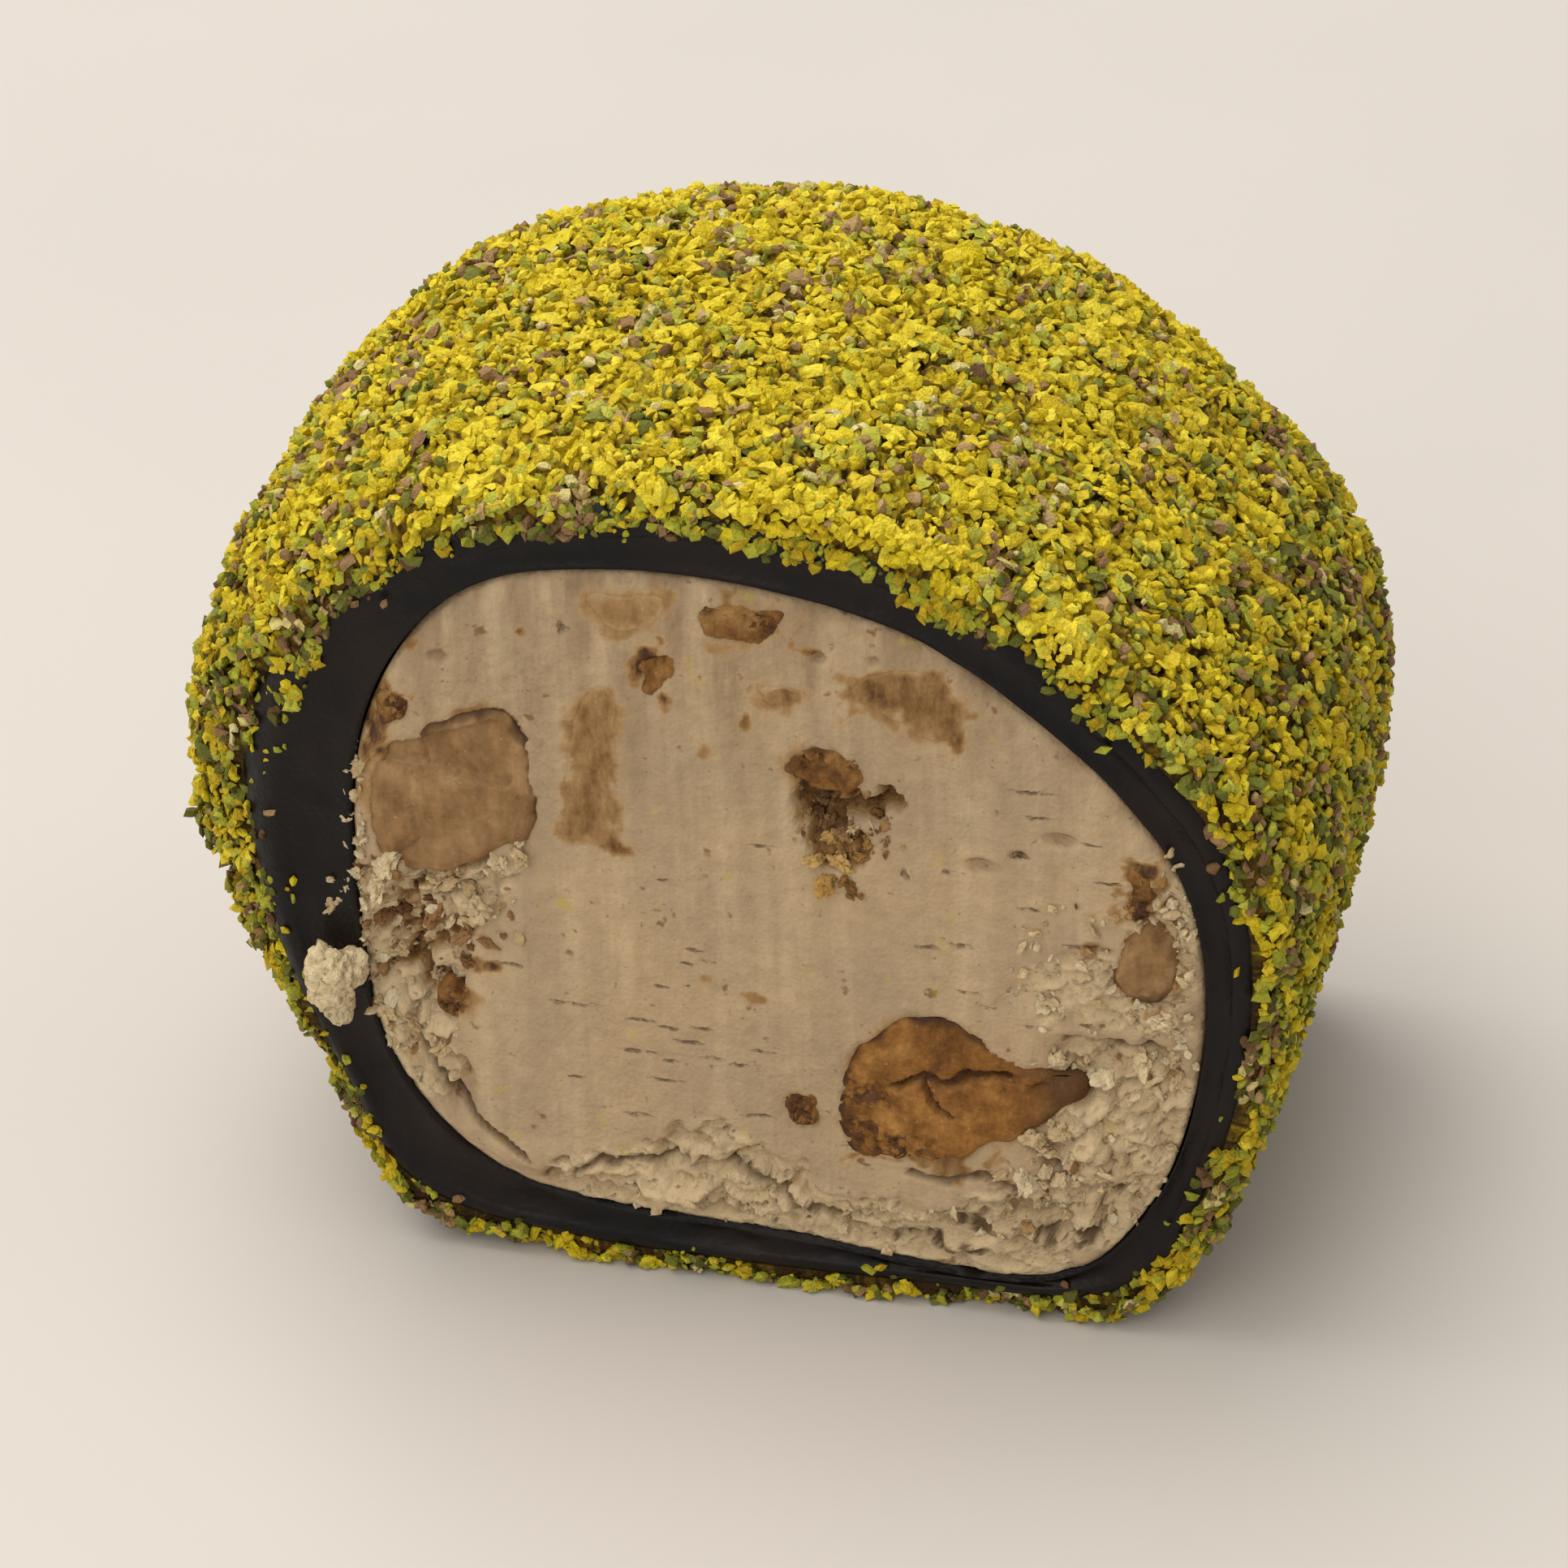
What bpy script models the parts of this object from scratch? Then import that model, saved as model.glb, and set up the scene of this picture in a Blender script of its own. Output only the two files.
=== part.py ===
"""One cut slice of a filled lokum roll with a coat of crushed pistachio.

The slice rests on its flattened underside, its long axis along Y and its better cut face
towards -Y. Metres, +Z up, origin on the ground under the middle of its bounding box.
"""
import math
import random

import bmesh
import bpy
from mathutils import Matrix, Vector, noise
from mathutils.geometry import delaunay_2d_cdt

MM = 0.001

# The slice as a whole.
FRONT_Y = -15.2 * MM             # the cut face that shows its nuts best
BACK_Y = 16.8 * MM
GAP = 0.3 * MM                   # air kept between neighbouring solids
RING_POINTS = 60                 # points round the wrap and the filling
CURVE_STEPS = 24                 # steps between two points of an outline before it is resampled
MERGE_DISTANCE = 0.001 * MM
SLIVER = 0.004 * MM              # edges shorter than this are closed after a Boolean
CENTRE = Vector((1.0 * MM, 21.0 * MM))
CENTRING = Vector((0.6 * MM, 0.1 * MM, 0.0))   # brings the middle of the slice over the origin

# Closed outlines at the cut face as (x, z), passed through by smooth curves.
WRAP_OUTLINE = [(25.3, 19.5), (23.7, 28.3), (17.3, 35.8), (9.3, 41.2), (0.3, 43.2), (-9.2, 42.2),
                (-17.0, 38.7), (-21.9, 31.2), (-23.3, 23.6), (-22.6, 16.4), (-20.0, 9.2), (-16.6, 3.2),
                (-8.0, 1.1), (9.0, 1.0), (19.0, 2.0), (23.4, 9.0)]
FILLING_OUTLINE = [(23.0, 18.5), (21.5, 26.9), (15.8, 33.6), (8.3, 38.4), (-2.1, 40.2), (-12.0, 38.4),
                   (-17.6, 30.8), (-18.6, 19.6), (-17.0, 10.2), (-10.6, 4.5), (2.8, 3.1), (15.2, 2.5),
                   (20.9, 8.4)]

# The wrap: a sheet of dark lokum, pinched at its cut rims and full between them.
WRAP_FLOOR = 1.1 * MM            # its underside, above the crumbs it rests on
WRAP_ROWS = 7
RIM_ROUNDING = 0.5 * MM
BULGE = 1.5 * MM                 # how far the middle swells past the rims
BULGE_POWER = 3.5                # higher is a flatter middle with shorter shoulders
BULGE_FROM = 11.0 * MM           # height where the swelling starts
BULGE_RISE = 16.0 * MM           # height over which it grows to its full size
SHOULDER_BULGE = 3.1 * MM        # further swelling of the left side
SHOULDER_ANGLE = math.radians(172)

# The coat: crushed pistachio pressed onto the wrap.
COAT_RIM = 0.7 * MM              # thickness at the cut rims
COAT_BODY = 1.2 * MM             # thickness between them
COAT_INNER_POINTS = 54           # the outside has twice as many
COAT_ROWS = 23
COAT_INNER_ROWS = 7
COAT_SETBACK = 0.5 * MM          # dark rim left bare at the cuts
COAT_LEFT_SETBACK = 1.3 * MM     # further bare rim on the left
COAT_RAGGED = 0.25 * MM          # unevenness of the coat's edge
HALF_WIDTH = 25.0 * MM           # from the middle of the cut face to its left side
PEBBLE_HEIGHT = 0.42 * MM
PEBBLE_SIZE = 2.4 * MM
PEBBLE_RIM = 0.35                # share of that height at the rims
CRUMB_COLUMNS = 17
CRUMB_ROWS = 4
CRUMB_RADIUS = (0.75 * MM, 0.98 * MM)
CRUMB_SINK = 0.2 * MM            # how deep a coarse crumb's middle lies in the coat
CRUMB_WANDER = 0.3               # share of a column that a crumb may stray sideways
CRUMB_ROW_BAND = (0.25, 0.75)    # part of its row that a crumb may lie in
CRUMB_UNEVEN = (0.75, 1.15)      # how far its corners vary
BASE_CLEAR = 4.5 * MM            # height below which no crumb stands out

# The filling's cut faces.
FACE_SPACING = 2.3 * MM
FACE_WAVE = 0.28 * MM
WAVE_SIZE = 6.0 * MM
FACE_RIM_DROP = 0.35 * MM        # the face falls away a little at its edge
FACE_RIM_WIDTH = 2.0 * MM
FACE_JITTER = 0.2                # share of the spacing that a point may stray
# Hollows torn into the front face: x, z, half width, half height, depth.
FRONT_HOLLOWS = [(-15.6, 17.6, 3.0, 4.2, 1.3), (5.0, 27.0, 2.1, 1.9, 1.9), (11.2, 4.9, 1.7, 1.1, 1.0),
                 (-14.0, 9.6, 1.2, 2.4, 0.8), (17.4, 16.0, 3.0, 1.6, 0.7)]
# Ledges left standing by the knife: the same values, with the height they stand out.
FRONT_LEDGES = [(-0.5, 5.6, 9.0, 1.5, 0.7), (18.3, 11.0, 3.2, 3.4, 0.8), (-9.0, 6.4, 4.0, 1.3, 0.4)]
BACK_HOLLOWS = [(13.0, 29.0, 2.6, 2.0, 1.4), (-8.0, 12.0, 3.4, 1.9, 1.1), (9.0, 8.5, 2.2, 1.5, 0.9)]
BACK_LEDGES = [(3.0, 5.4, 8.0, 1.5, 0.6), (-14.6, 21.0, 2.6, 4.4, 0.7)]
# Crumbs of filling on the front face: x, z, radius, how far the middle stands out.
LOOSE_CRUMBS = [(-17.3, 19.6, 1.1, 0.1), (-15.0, 20.6, 1.3, 0.2), (-14.2, 17.6, 1.0, 0.3),
                (-16.4, 14.2, 1.1, 0.2), (-13.0, 21.4, 1.0, 0.2), (-11.2, 22.6, 0.9, 0.2),
                (-15.8, 12.2, 0.9, 0.2), (17.0, 14.0, 1.2, 0.5), (19.6, 14.8, 1.1, 0.4),
                (15.6, 8.2, 1.1, 0.3), (17.6, 6.4, 1.0, 0.2), (7.6, 25.6, 0.8, 0.2)]
# The lump that was dragged over the wrap, and its root: x, z, distance of the middle
# before the face, half width, half depth, half height.
LUMP_UNEVEN = (0.82, 1.0)
LUMPS = [(-19.2, 16.3, 1.6, 1.9, 1.0, 2.7), (-17.2, 17.0, 0.4, 1.4, 2.0, 1.7)]

# Nuts in the front face: outline on the cut, depth of the piece behind it.
FRONT_NUTS = {
    "nut_left": ([(-17.6, 23.4), (-17.3, 28.6), (-14.7, 30.3), (-11.0, 31.6), (-9.6, 29.4), (-9.4, 25.2),
                  (-12.2, 23.5), (-15.6, 22.2)], 7.0),
    "nut_right": ([(5.2, 11.4), (5.9, 14.6), (7.7, 16.9), (10.2, 17.2), (13.0, 15.6), (17.5, 14.5),
                   (15.5, 12.1), (12.4, 9.9), (8.7, 8.7), (5.9, 9.0)], 7.5),
    "nut_streak": ([(-8.1, 25.2), (-7.7, 30.0), (-6.8, 33.4), (-5.1, 33.6), (-5.1, 29.2), (-5.5, 25.0)], 4.0),
    "nut_centre": ([(2.9, 30.4), (4.3, 31.7), (6.3, 31.3), (6.6, 29.6), (4.8, 28.9)], 3.4),
    "nut_upper": ([(5.4, 34.7), (8.8, 36.4), (10.8, 35.5), (11.2, 33.5), (9.8, 32.6), (7.6, 33.6)], 3.0),
    "nut_top": ([(-0.9, 38.6), (2.9, 38.9), (2.7, 37.5), (0.8, 36.6), (-0.8, 37.2)], 3.2),
    "nut_top_left": ([(-6.4, 38.8), (-2.6, 38.9), (-3.2, 37.5), (-4.7, 36.9), (-5.8, 37.6)], 3.0),
    "nut_edge": ([(18.6, 21.9), (19.9, 23.7), (21.2, 23.6), (21.6, 21.6), (20.8, 19.6), (18.8, 19.8)], 4.2),
    "nut_edge_small": ([(19.2, 27.0), (20.3, 26.4), (20.4, 25.1), (19.2, 25.3)], 2.4),
    "nut_bit_upper": ([(-3.7, 35.8), (-2.2, 36.3), (-2.0, 34.9), (-3.3, 33.6), (-4.0, 34.2)], 2.2),
    "nut_bit_middle": ([(1.8, 34.9), (4.1, 34.8), (3.6, 33.8), (2.0, 33.8)], 2.0),
    "nut_bit_low": ([(2.6, 11.8), (4.0, 11.7), (4.0, 10.2), (2.8, 10.1)], 2.2),
    "nut_bit_corner": ([(-16.9, 32.0), (-15.4, 32.1), (-15.6, 30.8), (-16.7, 30.3)], 2.0),
    "nut_bit_crumbly": ([(-14.6, 15.9), (-12.9, 15.5), (-13.3, 14.0), (-14.8, 14.4)], 2.2),
}
# Nuts in the back face, as ellipses: x, z, half width, half height, turn, depth.
BACK_NUTS = {
    "nut_back_large": (9.5, 21.0, 5.4, 4.0, 25.0, 7.0),
    "nut_back_high": (-4.5, 33.0, 4.2, 3.2, -20.0, 6.0),
    "nut_back_low": (-2.0, 9.6, 3.4, 2.2, 10.0, 4.5),
    "nut_back_left": (-13.4, 27.0, 1.5, 2.3, 15.0, 3.6),
    "nut_back_right": (18.4, 14.0, 1.8, 1.4, -30.0, 3.2),
    "nut_back_bit_a": (2.6, 27.6, 1.2, 0.9, 0.0, 2.2),
    "nut_back_bit_b": (-7.6, 19.4, 1.0, 1.4, 40.0, 2.4),
    "nut_back_bit_c": (7.2, 35.0, 1.4, 0.9, -25.0, 2.2),
}
NUT_PROUD = 0.12 * MM            # the cut nuts stand this far out of the filling
NUT_ROUGHNESS = (-0.05 * MM, 0.10 * MM)   # how far the middle of a cut nut stands back
NUT_INNER_RING = 0.55            # size of the ring that carries that roughness
POCKET_MOUTH = 4.0 * MM          # a pocket's cutter reaches this far before the cut face
LARGE_NUT = 8.0                  # from this width up a nut gets the finer mesh, in millimetres
LARGE_NUT_MESH = (16, 4)         # points round a nut, layers behind its cut
SMALL_NUT_MESH = (8, 2)
BACK_NUT_POINTS = 8
BACK_NUT_UNEVEN = 0.08


def clear_scene():
    for old in list(bpy.data.objects):
        bpy.data.objects.remove(old, do_unlink=True)


def make_material(name, colour, roughness):
    material = bpy.data.materials.new(name)
    material.use_nodes = True
    shader = material.node_tree.nodes["Principled BSDF"]
    shader.inputs["Base Color"].default_value = (*colour, 1.0)
    shader.inputs["Roughness"].default_value = roughness
    shader.inputs["Metallic"].default_value = 0.0
    return material


def make_object(name, mesh_edit, material):
    """Turn an edited mesh into a named object with outward normals."""
    bmesh.ops.recalc_face_normals(mesh_edit, faces=mesh_edit.faces)
    mesh = bpy.data.meshes.new(name)
    mesh_edit.to_mesh(mesh)
    mesh_edit.free()
    obj = bpy.data.objects.new(name, mesh)
    bpy.context.scene.collection.objects.link(obj)
    if material is not None:
        mesh.materials.append(material)
    return obj


def smooth_loop(points, count):
    """Evenly spaced points on a closed curve that passes through the given ones."""
    knots = [Vector(p) * MM for p in points]
    size = len(knots)
    dense = []
    for i in range(size):
        before, start, end, after = (knots[(i + step - 1) % size] for step in range(4))
        for k in range(CURVE_STEPS):
            t = k / CURVE_STEPS
            dense.append(0.5 * (2 * start + (end - before) * t
                                + (2 * before - 5 * start + 4 * end - after) * t ** 2
                                + (3 * start - 3 * end + after - before) * t ** 3))
    return even_loop(dense, count)


def even_loop(dense, count):
    """Resample a closed polyline to points with equal spacing."""
    lengths = [0.0]
    for here, there in zip(dense, dense[1:] + dense[:1]):
        lengths.append(lengths[-1] + (there - here).length)
    loop = []
    index = 0
    for k in range(count):
        wanted = lengths[-1] * k / count
        while lengths[index + 1] < wanted:
            index += 1
        share = (wanted - lengths[index]) / (lengths[index + 1] - lengths[index])
        loop.append(dense[index].lerp(dense[(index + 1) % len(dense)], share))
    return loop


def offset_loop(loop, amounts):
    """Move each point of a counter-clockwise loop outwards by its own amount."""
    size = len(loop)
    moved = []
    for i, point in enumerate(loop):
        along = loop[(i + 1) % size] - loop[i - 1]
        outward = Vector((along.y, -along.x)).normalized()
        moved.append(point + outward * amounts[i])
    return moved


def bulge_at(point, y):
    """How far the roll swells past its rims at one place round it and along it."""
    share = (y - FRONT_Y) / (BACK_Y - FRONT_Y)
    along = 1.0 - abs(2.0 * share - 1.0) ** BULGE_POWER
    direction = point - CENTRE
    turn = math.atan2(direction.y, direction.x) - SHOULDER_ANGLE
    shoulder = max(0.0, math.cos(turn)) ** 3
    lift = min(1.0, max(0.0, (point.y - BULGE_FROM) / BULGE_RISE))
    return along * lift * (BULGE + SHOULDER_BULGE * shoulder)


def wrap_loop(base, y):
    """The wrap's outside at one station, flattened where it lies on the crumbs."""
    swollen = offset_loop(base, [bulge_at(point, y) for point in base])
    return [Vector((p.x, max(p.y, WRAP_FLOOR))) for p in swollen]


def add_ring(mesh_edit, loop, depths):
    """Add one ring of vertices; depths holds the y of each point."""
    return [mesh_edit.verts.new((p.x, y, p.y)) for p, y in zip(loop, depths)]


def bridge(mesh_edit, first, second):
    size = len(first)
    for i in range(size):
        j = (i + 1) % size
        mesh_edit.faces.new((first[i], first[j], second[j], second[i]))


def spaced(start, end, count):
    return [start + (end - start) * k / (count - 1) for k in range(count)]


def end_spaced(start, end, count):
    """Stations that crowd towards both ends, where the roll curves most."""
    return [start + (end - start) * 0.5 * (1.0 - math.cos(math.pi * share))
            for share in spaced(0.0, 1.0, count)]


def wave(x, z, seed):
    """Slow unevenness of a cut face, from -1 to 1."""
    return noise.noise(Vector((x / WAVE_SIZE, z / WAVE_SIZE, seed)))


def build_wrap(material):
    """A tube of dark lokum that runs through the slice round the filling."""
    outer_base = smooth_loop(WRAP_OUTLINE, RING_POINTS)
    inner = offset_loop(smooth_loop(FILLING_OUTLINE, RING_POINTS), [GAP] * RING_POINTS)
    mesh_edit = bmesh.new()
    stations = end_spaced(FRONT_Y + RIM_ROUNDING, BACK_Y - RIM_ROUNDING, WRAP_ROWS)
    rings = []
    for end, sign in ((FRONT_Y, 1.0), (BACK_Y, -1.0)):
        rounded = offset_loop(outer_base, [-RIM_ROUNDING] * RING_POINTS)
        rounded = [Vector((p.x, max(p.y, WRAP_FLOOR))) for p in rounded]
        depths = [end - sign * FACE_WAVE * wave(p.x, p.y, sign) for p in rounded]
        rings.append(add_ring(mesh_edit, rounded, depths))
    front_ring, back_ring = rings
    previous = front_ring
    for y in stations:
        ring = add_ring(mesh_edit, wrap_loop(outer_base, y), [y] * RING_POINTS)
        bridge(mesh_edit, previous, ring)
        previous = ring
    bridge(mesh_edit, previous, back_ring)
    inner_rings = []
    for end, sign in ((FRONT_Y, 1.0), (BACK_Y, -1.0)):
        depths = [end - sign * FACE_WAVE * wave(p.x, p.y, sign) for p in inner]
        inner_rings.append(add_ring(mesh_edit, inner, depths))
    bridge(mesh_edit, back_ring, inner_rings[1])
    bridge(mesh_edit, inner_rings[1], inner_rings[0])
    bridge(mesh_edit, inner_rings[0], front_ring)
    return make_object("wrap", mesh_edit, material)


def coat_start(point):
    """How far the coat stays behind the cut rim at one place round the roll."""
    left = max(0.0, (CENTRE.x - point.x) / HALF_WIDTH)
    ragged = COAT_RAGGED * noise.noise(Vector((point.x, point.y, 0.0)) / PEBBLE_SIZE)
    return COAT_SETBACK + COAT_LEFT_SETBACK * min(1.0, left) ** 2 + ragged


def coat_station(point, share):
    """The y of one row of the coat at one place round the roll."""
    start = coat_start(point)
    return FRONT_Y + start + (BACK_Y - FRONT_Y - 2.0 * start) * share


def coat_inside(base, share):
    """One ring of the coat's inner surface, just clear of the wrap."""
    depths = [coat_station(point, share) for point in base]
    loop = offset_loop(base, [bulge_at(p, y) + GAP for p, y in zip(base, depths)])
    return [Vector((p.x, max(p.y, WRAP_FLOOR - GAP))) for p in loop], depths


def coat_outside(base, share, rng):
    """One ring of the outer surface, with the crushed nuts as relief over a flat base."""
    depths = [coat_station(point, share) for point in base]
    body = 1.0 - abs(2.0 * share - 1.0) ** BULGE_POWER
    thickness = GAP + COAT_RIM + (COAT_BODY - COAT_RIM) * body
    strength = PEBBLE_HEIGHT * (PEBBLE_RIM + (1.0 - PEBBLE_RIM) * body)
    amounts = []
    for p, y in zip(base, depths):
        fade = min(1.0, max(0.0, p.y / BASE_CLEAR))
        patch = noise.noise(Vector((p.x, y, p.y)) / PEBBLE_SIZE)
        height = fade * strength * (patch + rng.uniform(-1.0, 1.0))
        amounts.append(bulge_at(p, y) + thickness + height)
    loop = offset_loop(base, amounts)
    return [Vector((p.x, max(p.y, 0.0))) for p in loop], depths


def close_rim(mesh_edit, inner, outer):
    """Join an inner ring to an outer ring with twice as many points."""
    size = len(inner)
    for i in range(size):
        here, there = inner[i], inner[(i + 1) % size]
        start, middle, end = (outer[(2 * i + step) % (2 * size)] for step in range(3))
        mesh_edit.faces.new((here, start, middle))
        mesh_edit.faces.new((here, middle, there))
        mesh_edit.faces.new((there, middle, end))


def build_coat(material):
    """A rough tube over the wrap, flat where it rests, with coarser crumbs fused on."""
    rng = random.Random(11)
    inner_base = smooth_loop(WRAP_OUTLINE, COAT_INNER_POINTS)
    outer_base = smooth_loop(WRAP_OUTLINE, 2 * COAT_INNER_POINTS)
    mesh_edit = bmesh.new()
    inner_rings = []
    for share in end_spaced(0.0, 1.0, COAT_INNER_ROWS):
        inner_rings.append(add_ring(mesh_edit, *coat_inside(inner_base, share)))
    outer_rings = []
    for share in spaced(0.0, 1.0, COAT_ROWS):
        outer_rings.append(add_ring(mesh_edit, *coat_outside(outer_base, share, rng)))
    for rings in (inner_rings, outer_rings):
        for first, second in zip(rings, rings[1:]):
            bridge(mesh_edit, first, second)
    close_rim(mesh_edit, inner_rings[0], outer_rings[0])
    close_rim(mesh_edit, inner_rings[-1], outer_rings[-1])
    coat = make_object("coat", mesh_edit, material)
    crumbs = []
    for site in crumb_sites(outer_base, rng):
        radius = rng.uniform(*CRUMB_RADIUS)
        crumbs.append(make_crumb("crumb", site, (radius, radius, radius), rng))
    boolean_with(coat, crumbs, "UNION")
    return coat


def crumb_sites(base, rng):
    """Places of the coarse crumbs, spread evenly over the coat by a jittered grid."""
    size = len(base)
    sites = []
    for column in range(CRUMB_COLUMNS):
        for row in range(CRUMB_ROWS):
            around = (column + 0.5 * (row % 2) + rng.uniform(-CRUMB_WANDER, CRUMB_WANDER)) / CRUMB_COLUMNS
            index = int(around * size) % size
            y = coat_station(base[index], (row + rng.uniform(*CRUMB_ROW_BAND)) / CRUMB_ROWS)
            point = base[index]
            if point.y < BASE_CLEAR:
                continue
            along = base[(index + 1) % size] - base[index - 1]
            outward = Vector((along.y, -along.x)).normalized()
            place = point + outward * (bulge_at(point, y) + GAP + COAT_BODY - CRUMB_SINK)
            sites.append(Vector((place.x, y, place.y)))
    return sites


def make_crumb(name, place, radii, rng):
    """An angular crumb: a low ball with uneven corners."""
    mesh_edit = bmesh.new()
    bmesh.ops.create_icosphere(mesh_edit, subdivisions=1, radius=1.0)
    for vert in mesh_edit.verts:
        vert.co *= rng.uniform(*CRUMB_UNEVEN)
        vert.co = Vector((vert.co.x * radii[0], vert.co.y * radii[1], vert.co.z * radii[2])) + place
    return make_object(name, mesh_edit, None)


def boolean_with(target, others, operation):
    """Join or cut the target with a group of objects, apply it and remove the group."""
    group = bpy.data.collections.new(target.name + "_tools")
    bpy.context.scene.collection.children.link(group)
    for other in others:
        bpy.context.scene.collection.objects.unlink(other)
        group.objects.link(other)
    modifier = target.modifiers.new("combine", "BOOLEAN")
    modifier.operation = operation
    modifier.operand_type = "COLLECTION"
    modifier.collection = group
    modifier.solver = "EXACT"
    bpy.context.view_layer.update()
    depsgraph = bpy.context.evaluated_depsgraph_get()
    combined = bpy.data.meshes.new_from_object(target.evaluated_get(depsgraph))
    target.modifiers.clear()
    plain = target.data
    target.data = combined
    combined.name = target.name
    bpy.data.meshes.remove(plain)
    for other in list(group.objects):
        bpy.data.objects.remove(other, do_unlink=True)
    bpy.data.collections.remove(group)
    keep_main_body(target)


def keep_main_body(obj):
    """Drop loose scraps and fill sealed hollows, keeping the one large shell."""
    mesh_edit = bmesh.new()
    mesh_edit.from_mesh(obj.data)
    bmesh.ops.remove_doubles(mesh_edit, verts=mesh_edit.verts, dist=MERGE_DISTANCE)
    bmesh.ops.dissolve_degenerate(mesh_edit, edges=mesh_edit.edges, dist=SLIVER)
    unseen = set(mesh_edit.verts)
    shells = []
    while unseen:
        stack = [unseen.pop()]
        shell = set(stack)
        while stack:
            vert = stack.pop()
            for edge in vert.link_edges:
                other = edge.other_vert(vert)
                if other in unseen:
                    unseen.discard(other)
                    shell.add(other)
                    stack.append(other)
        shells.append(shell)
    shells.sort(key=len)
    for shell in shells[:-1]:
        bmesh.ops.delete(mesh_edit, geom=list(shell), context="VERTS")
    bmesh.ops.triangulate(mesh_edit, faces=mesh_edit.faces)
    mesh_edit.to_mesh(obj.data)
    mesh_edit.free()


def dome(x, z, spots):
    """Sum of smooth round spots given as x, z, half width, half height and size."""
    total = 0.0
    for spot_x, spot_z, half_width, half_height, size in spots:
        away = math.hypot((x / MM - spot_x) / half_width, (z / MM - spot_z) / half_height)
        if away < 1.0:
            total += size * MM * (1.0 - away ** 2) ** 1.5
    return total


def face_depth(x, z, sign, rim):
    """Depth of the filling's cut face behind its plane; sign is 1 in front, -1 behind."""
    hollows, ledges = (FRONT_HOLLOWS, FRONT_LEDGES) if sign > 0 else (BACK_HOLLOWS, BACK_LEDGES)
    near_rim = max(0.0, 1.0 - rim / FACE_RIM_WIDTH)
    return (dome(x, z, hollows) - dome(x, z, ledges) - FACE_WAVE * wave(x, z, sign)
            + FACE_RIM_DROP * near_rim ** 2)


def face_points(loop, spacing, rng):
    """The loop's points and a jittered triangular grid inside it."""
    size = len(loop)
    points = list(loop)
    low_x = min(p.x for p in loop)
    high_x = max(p.x for p in loop)
    low_z = min(p.y for p in loop)
    high_z = max(p.y for p in loop)
    row_height = spacing * math.sqrt(0.75)
    for row in range(int((high_z - low_z) / row_height) + 1):
        for column in range(int((high_x - low_x) / spacing) + 1):
            place = Vector((low_x + (column + 0.5 * (row % 2)) * spacing, low_z + row * row_height))
            place += Vector((rng.uniform(-1.0, 1.0), rng.uniform(-1.0, 1.0))) * FACE_JITTER * spacing
            if edge_distance(place, loop) > 0.5 * spacing:
                points.append(place)
    edges = [(i, (i + 1) % size) for i in range(size)]
    placed, _, faces, _, _, _ = delaunay_2d_cdt(points, edges, [], 1, 1e-7)
    return placed, faces


def edge_distance(place, loop):
    """Distance to a closed loop, negative outside it."""
    size = len(loop)
    nearest = math.inf
    inside = False
    for i in range(size):
        a = loop[i]
        b = loop[(i + 1) % size]
        side = b - a
        share = min(1.0, max(0.0, (place - a).dot(side) / side.length_squared))
        nearest = min(nearest, (place - a - side * share).length)
        if (a.y > place.y) != (b.y > place.y):
            if place.x < a.x + side.x * (place.y - a.y) / side.y:
                inside = not inside
    return nearest if inside else -nearest


def build_filling(material, pockets):
    """The pale filling, run through the slice, with worked cut faces and nut pockets."""
    rng = random.Random(5)
    loop = smooth_loop(FILLING_OUTLINE, RING_POINTS)
    mesh_edit = bmesh.new()
    rims = []
    for end, sign in ((FRONT_Y, 1.0), (BACK_Y, -1.0)):
        placed, faces = face_points(loop, FACE_SPACING, rng)
        verts = []
        for p in placed:
            depth = face_depth(p.x, p.y, sign, max(0.0, edge_distance(p, loop)))
            verts.append(mesh_edit.verts.new((p.x, end + sign * depth, p.y)))
        for face in faces:
            mesh_edit.faces.new([verts[i] for i in face])
        rims.append(verts[:RING_POINTS])
    bridge(mesh_edit, rims[0], rims[1])
    filling = make_object("filling", mesh_edit, material)
    crumbs = []
    for x, z, radius, proud in LOOSE_CRUMBS:
        depth = dome(x * MM, z * MM, FRONT_HOLLOWS)
        place = Vector((x * MM, FRONT_Y + depth - proud * MM, z * MM))
        crumbs.append(make_crumb("crumb", place, (radius * MM,) * 3, rng))
    for x, z, before, half_width, half_depth, half_height in LUMPS:
        place = Vector((x * MM, FRONT_Y - before * MM, z * MM))
        crumbs.append(make_lump(place, (half_width * MM, half_depth * MM, half_height * MM), rng))
    boolean_with(filling, crumbs, "UNION")
    boolean_with(filling, pockets, "DIFFERENCE")
    return filling


def make_lump(place, radii, rng):
    """A knobbly lump of filling, finer than a crumb."""
    mesh_edit = bmesh.new()
    bmesh.ops.create_icosphere(mesh_edit, subdivisions=2, radius=1.0)
    for vert in mesh_edit.verts:
        vert.co *= rng.uniform(*LUMP_UNEVEN)
        vert.co = Vector((vert.co.x * radii[0], vert.co.y * radii[1], vert.co.z * radii[2])) + place
    return make_object("lump", mesh_edit, None)


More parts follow.
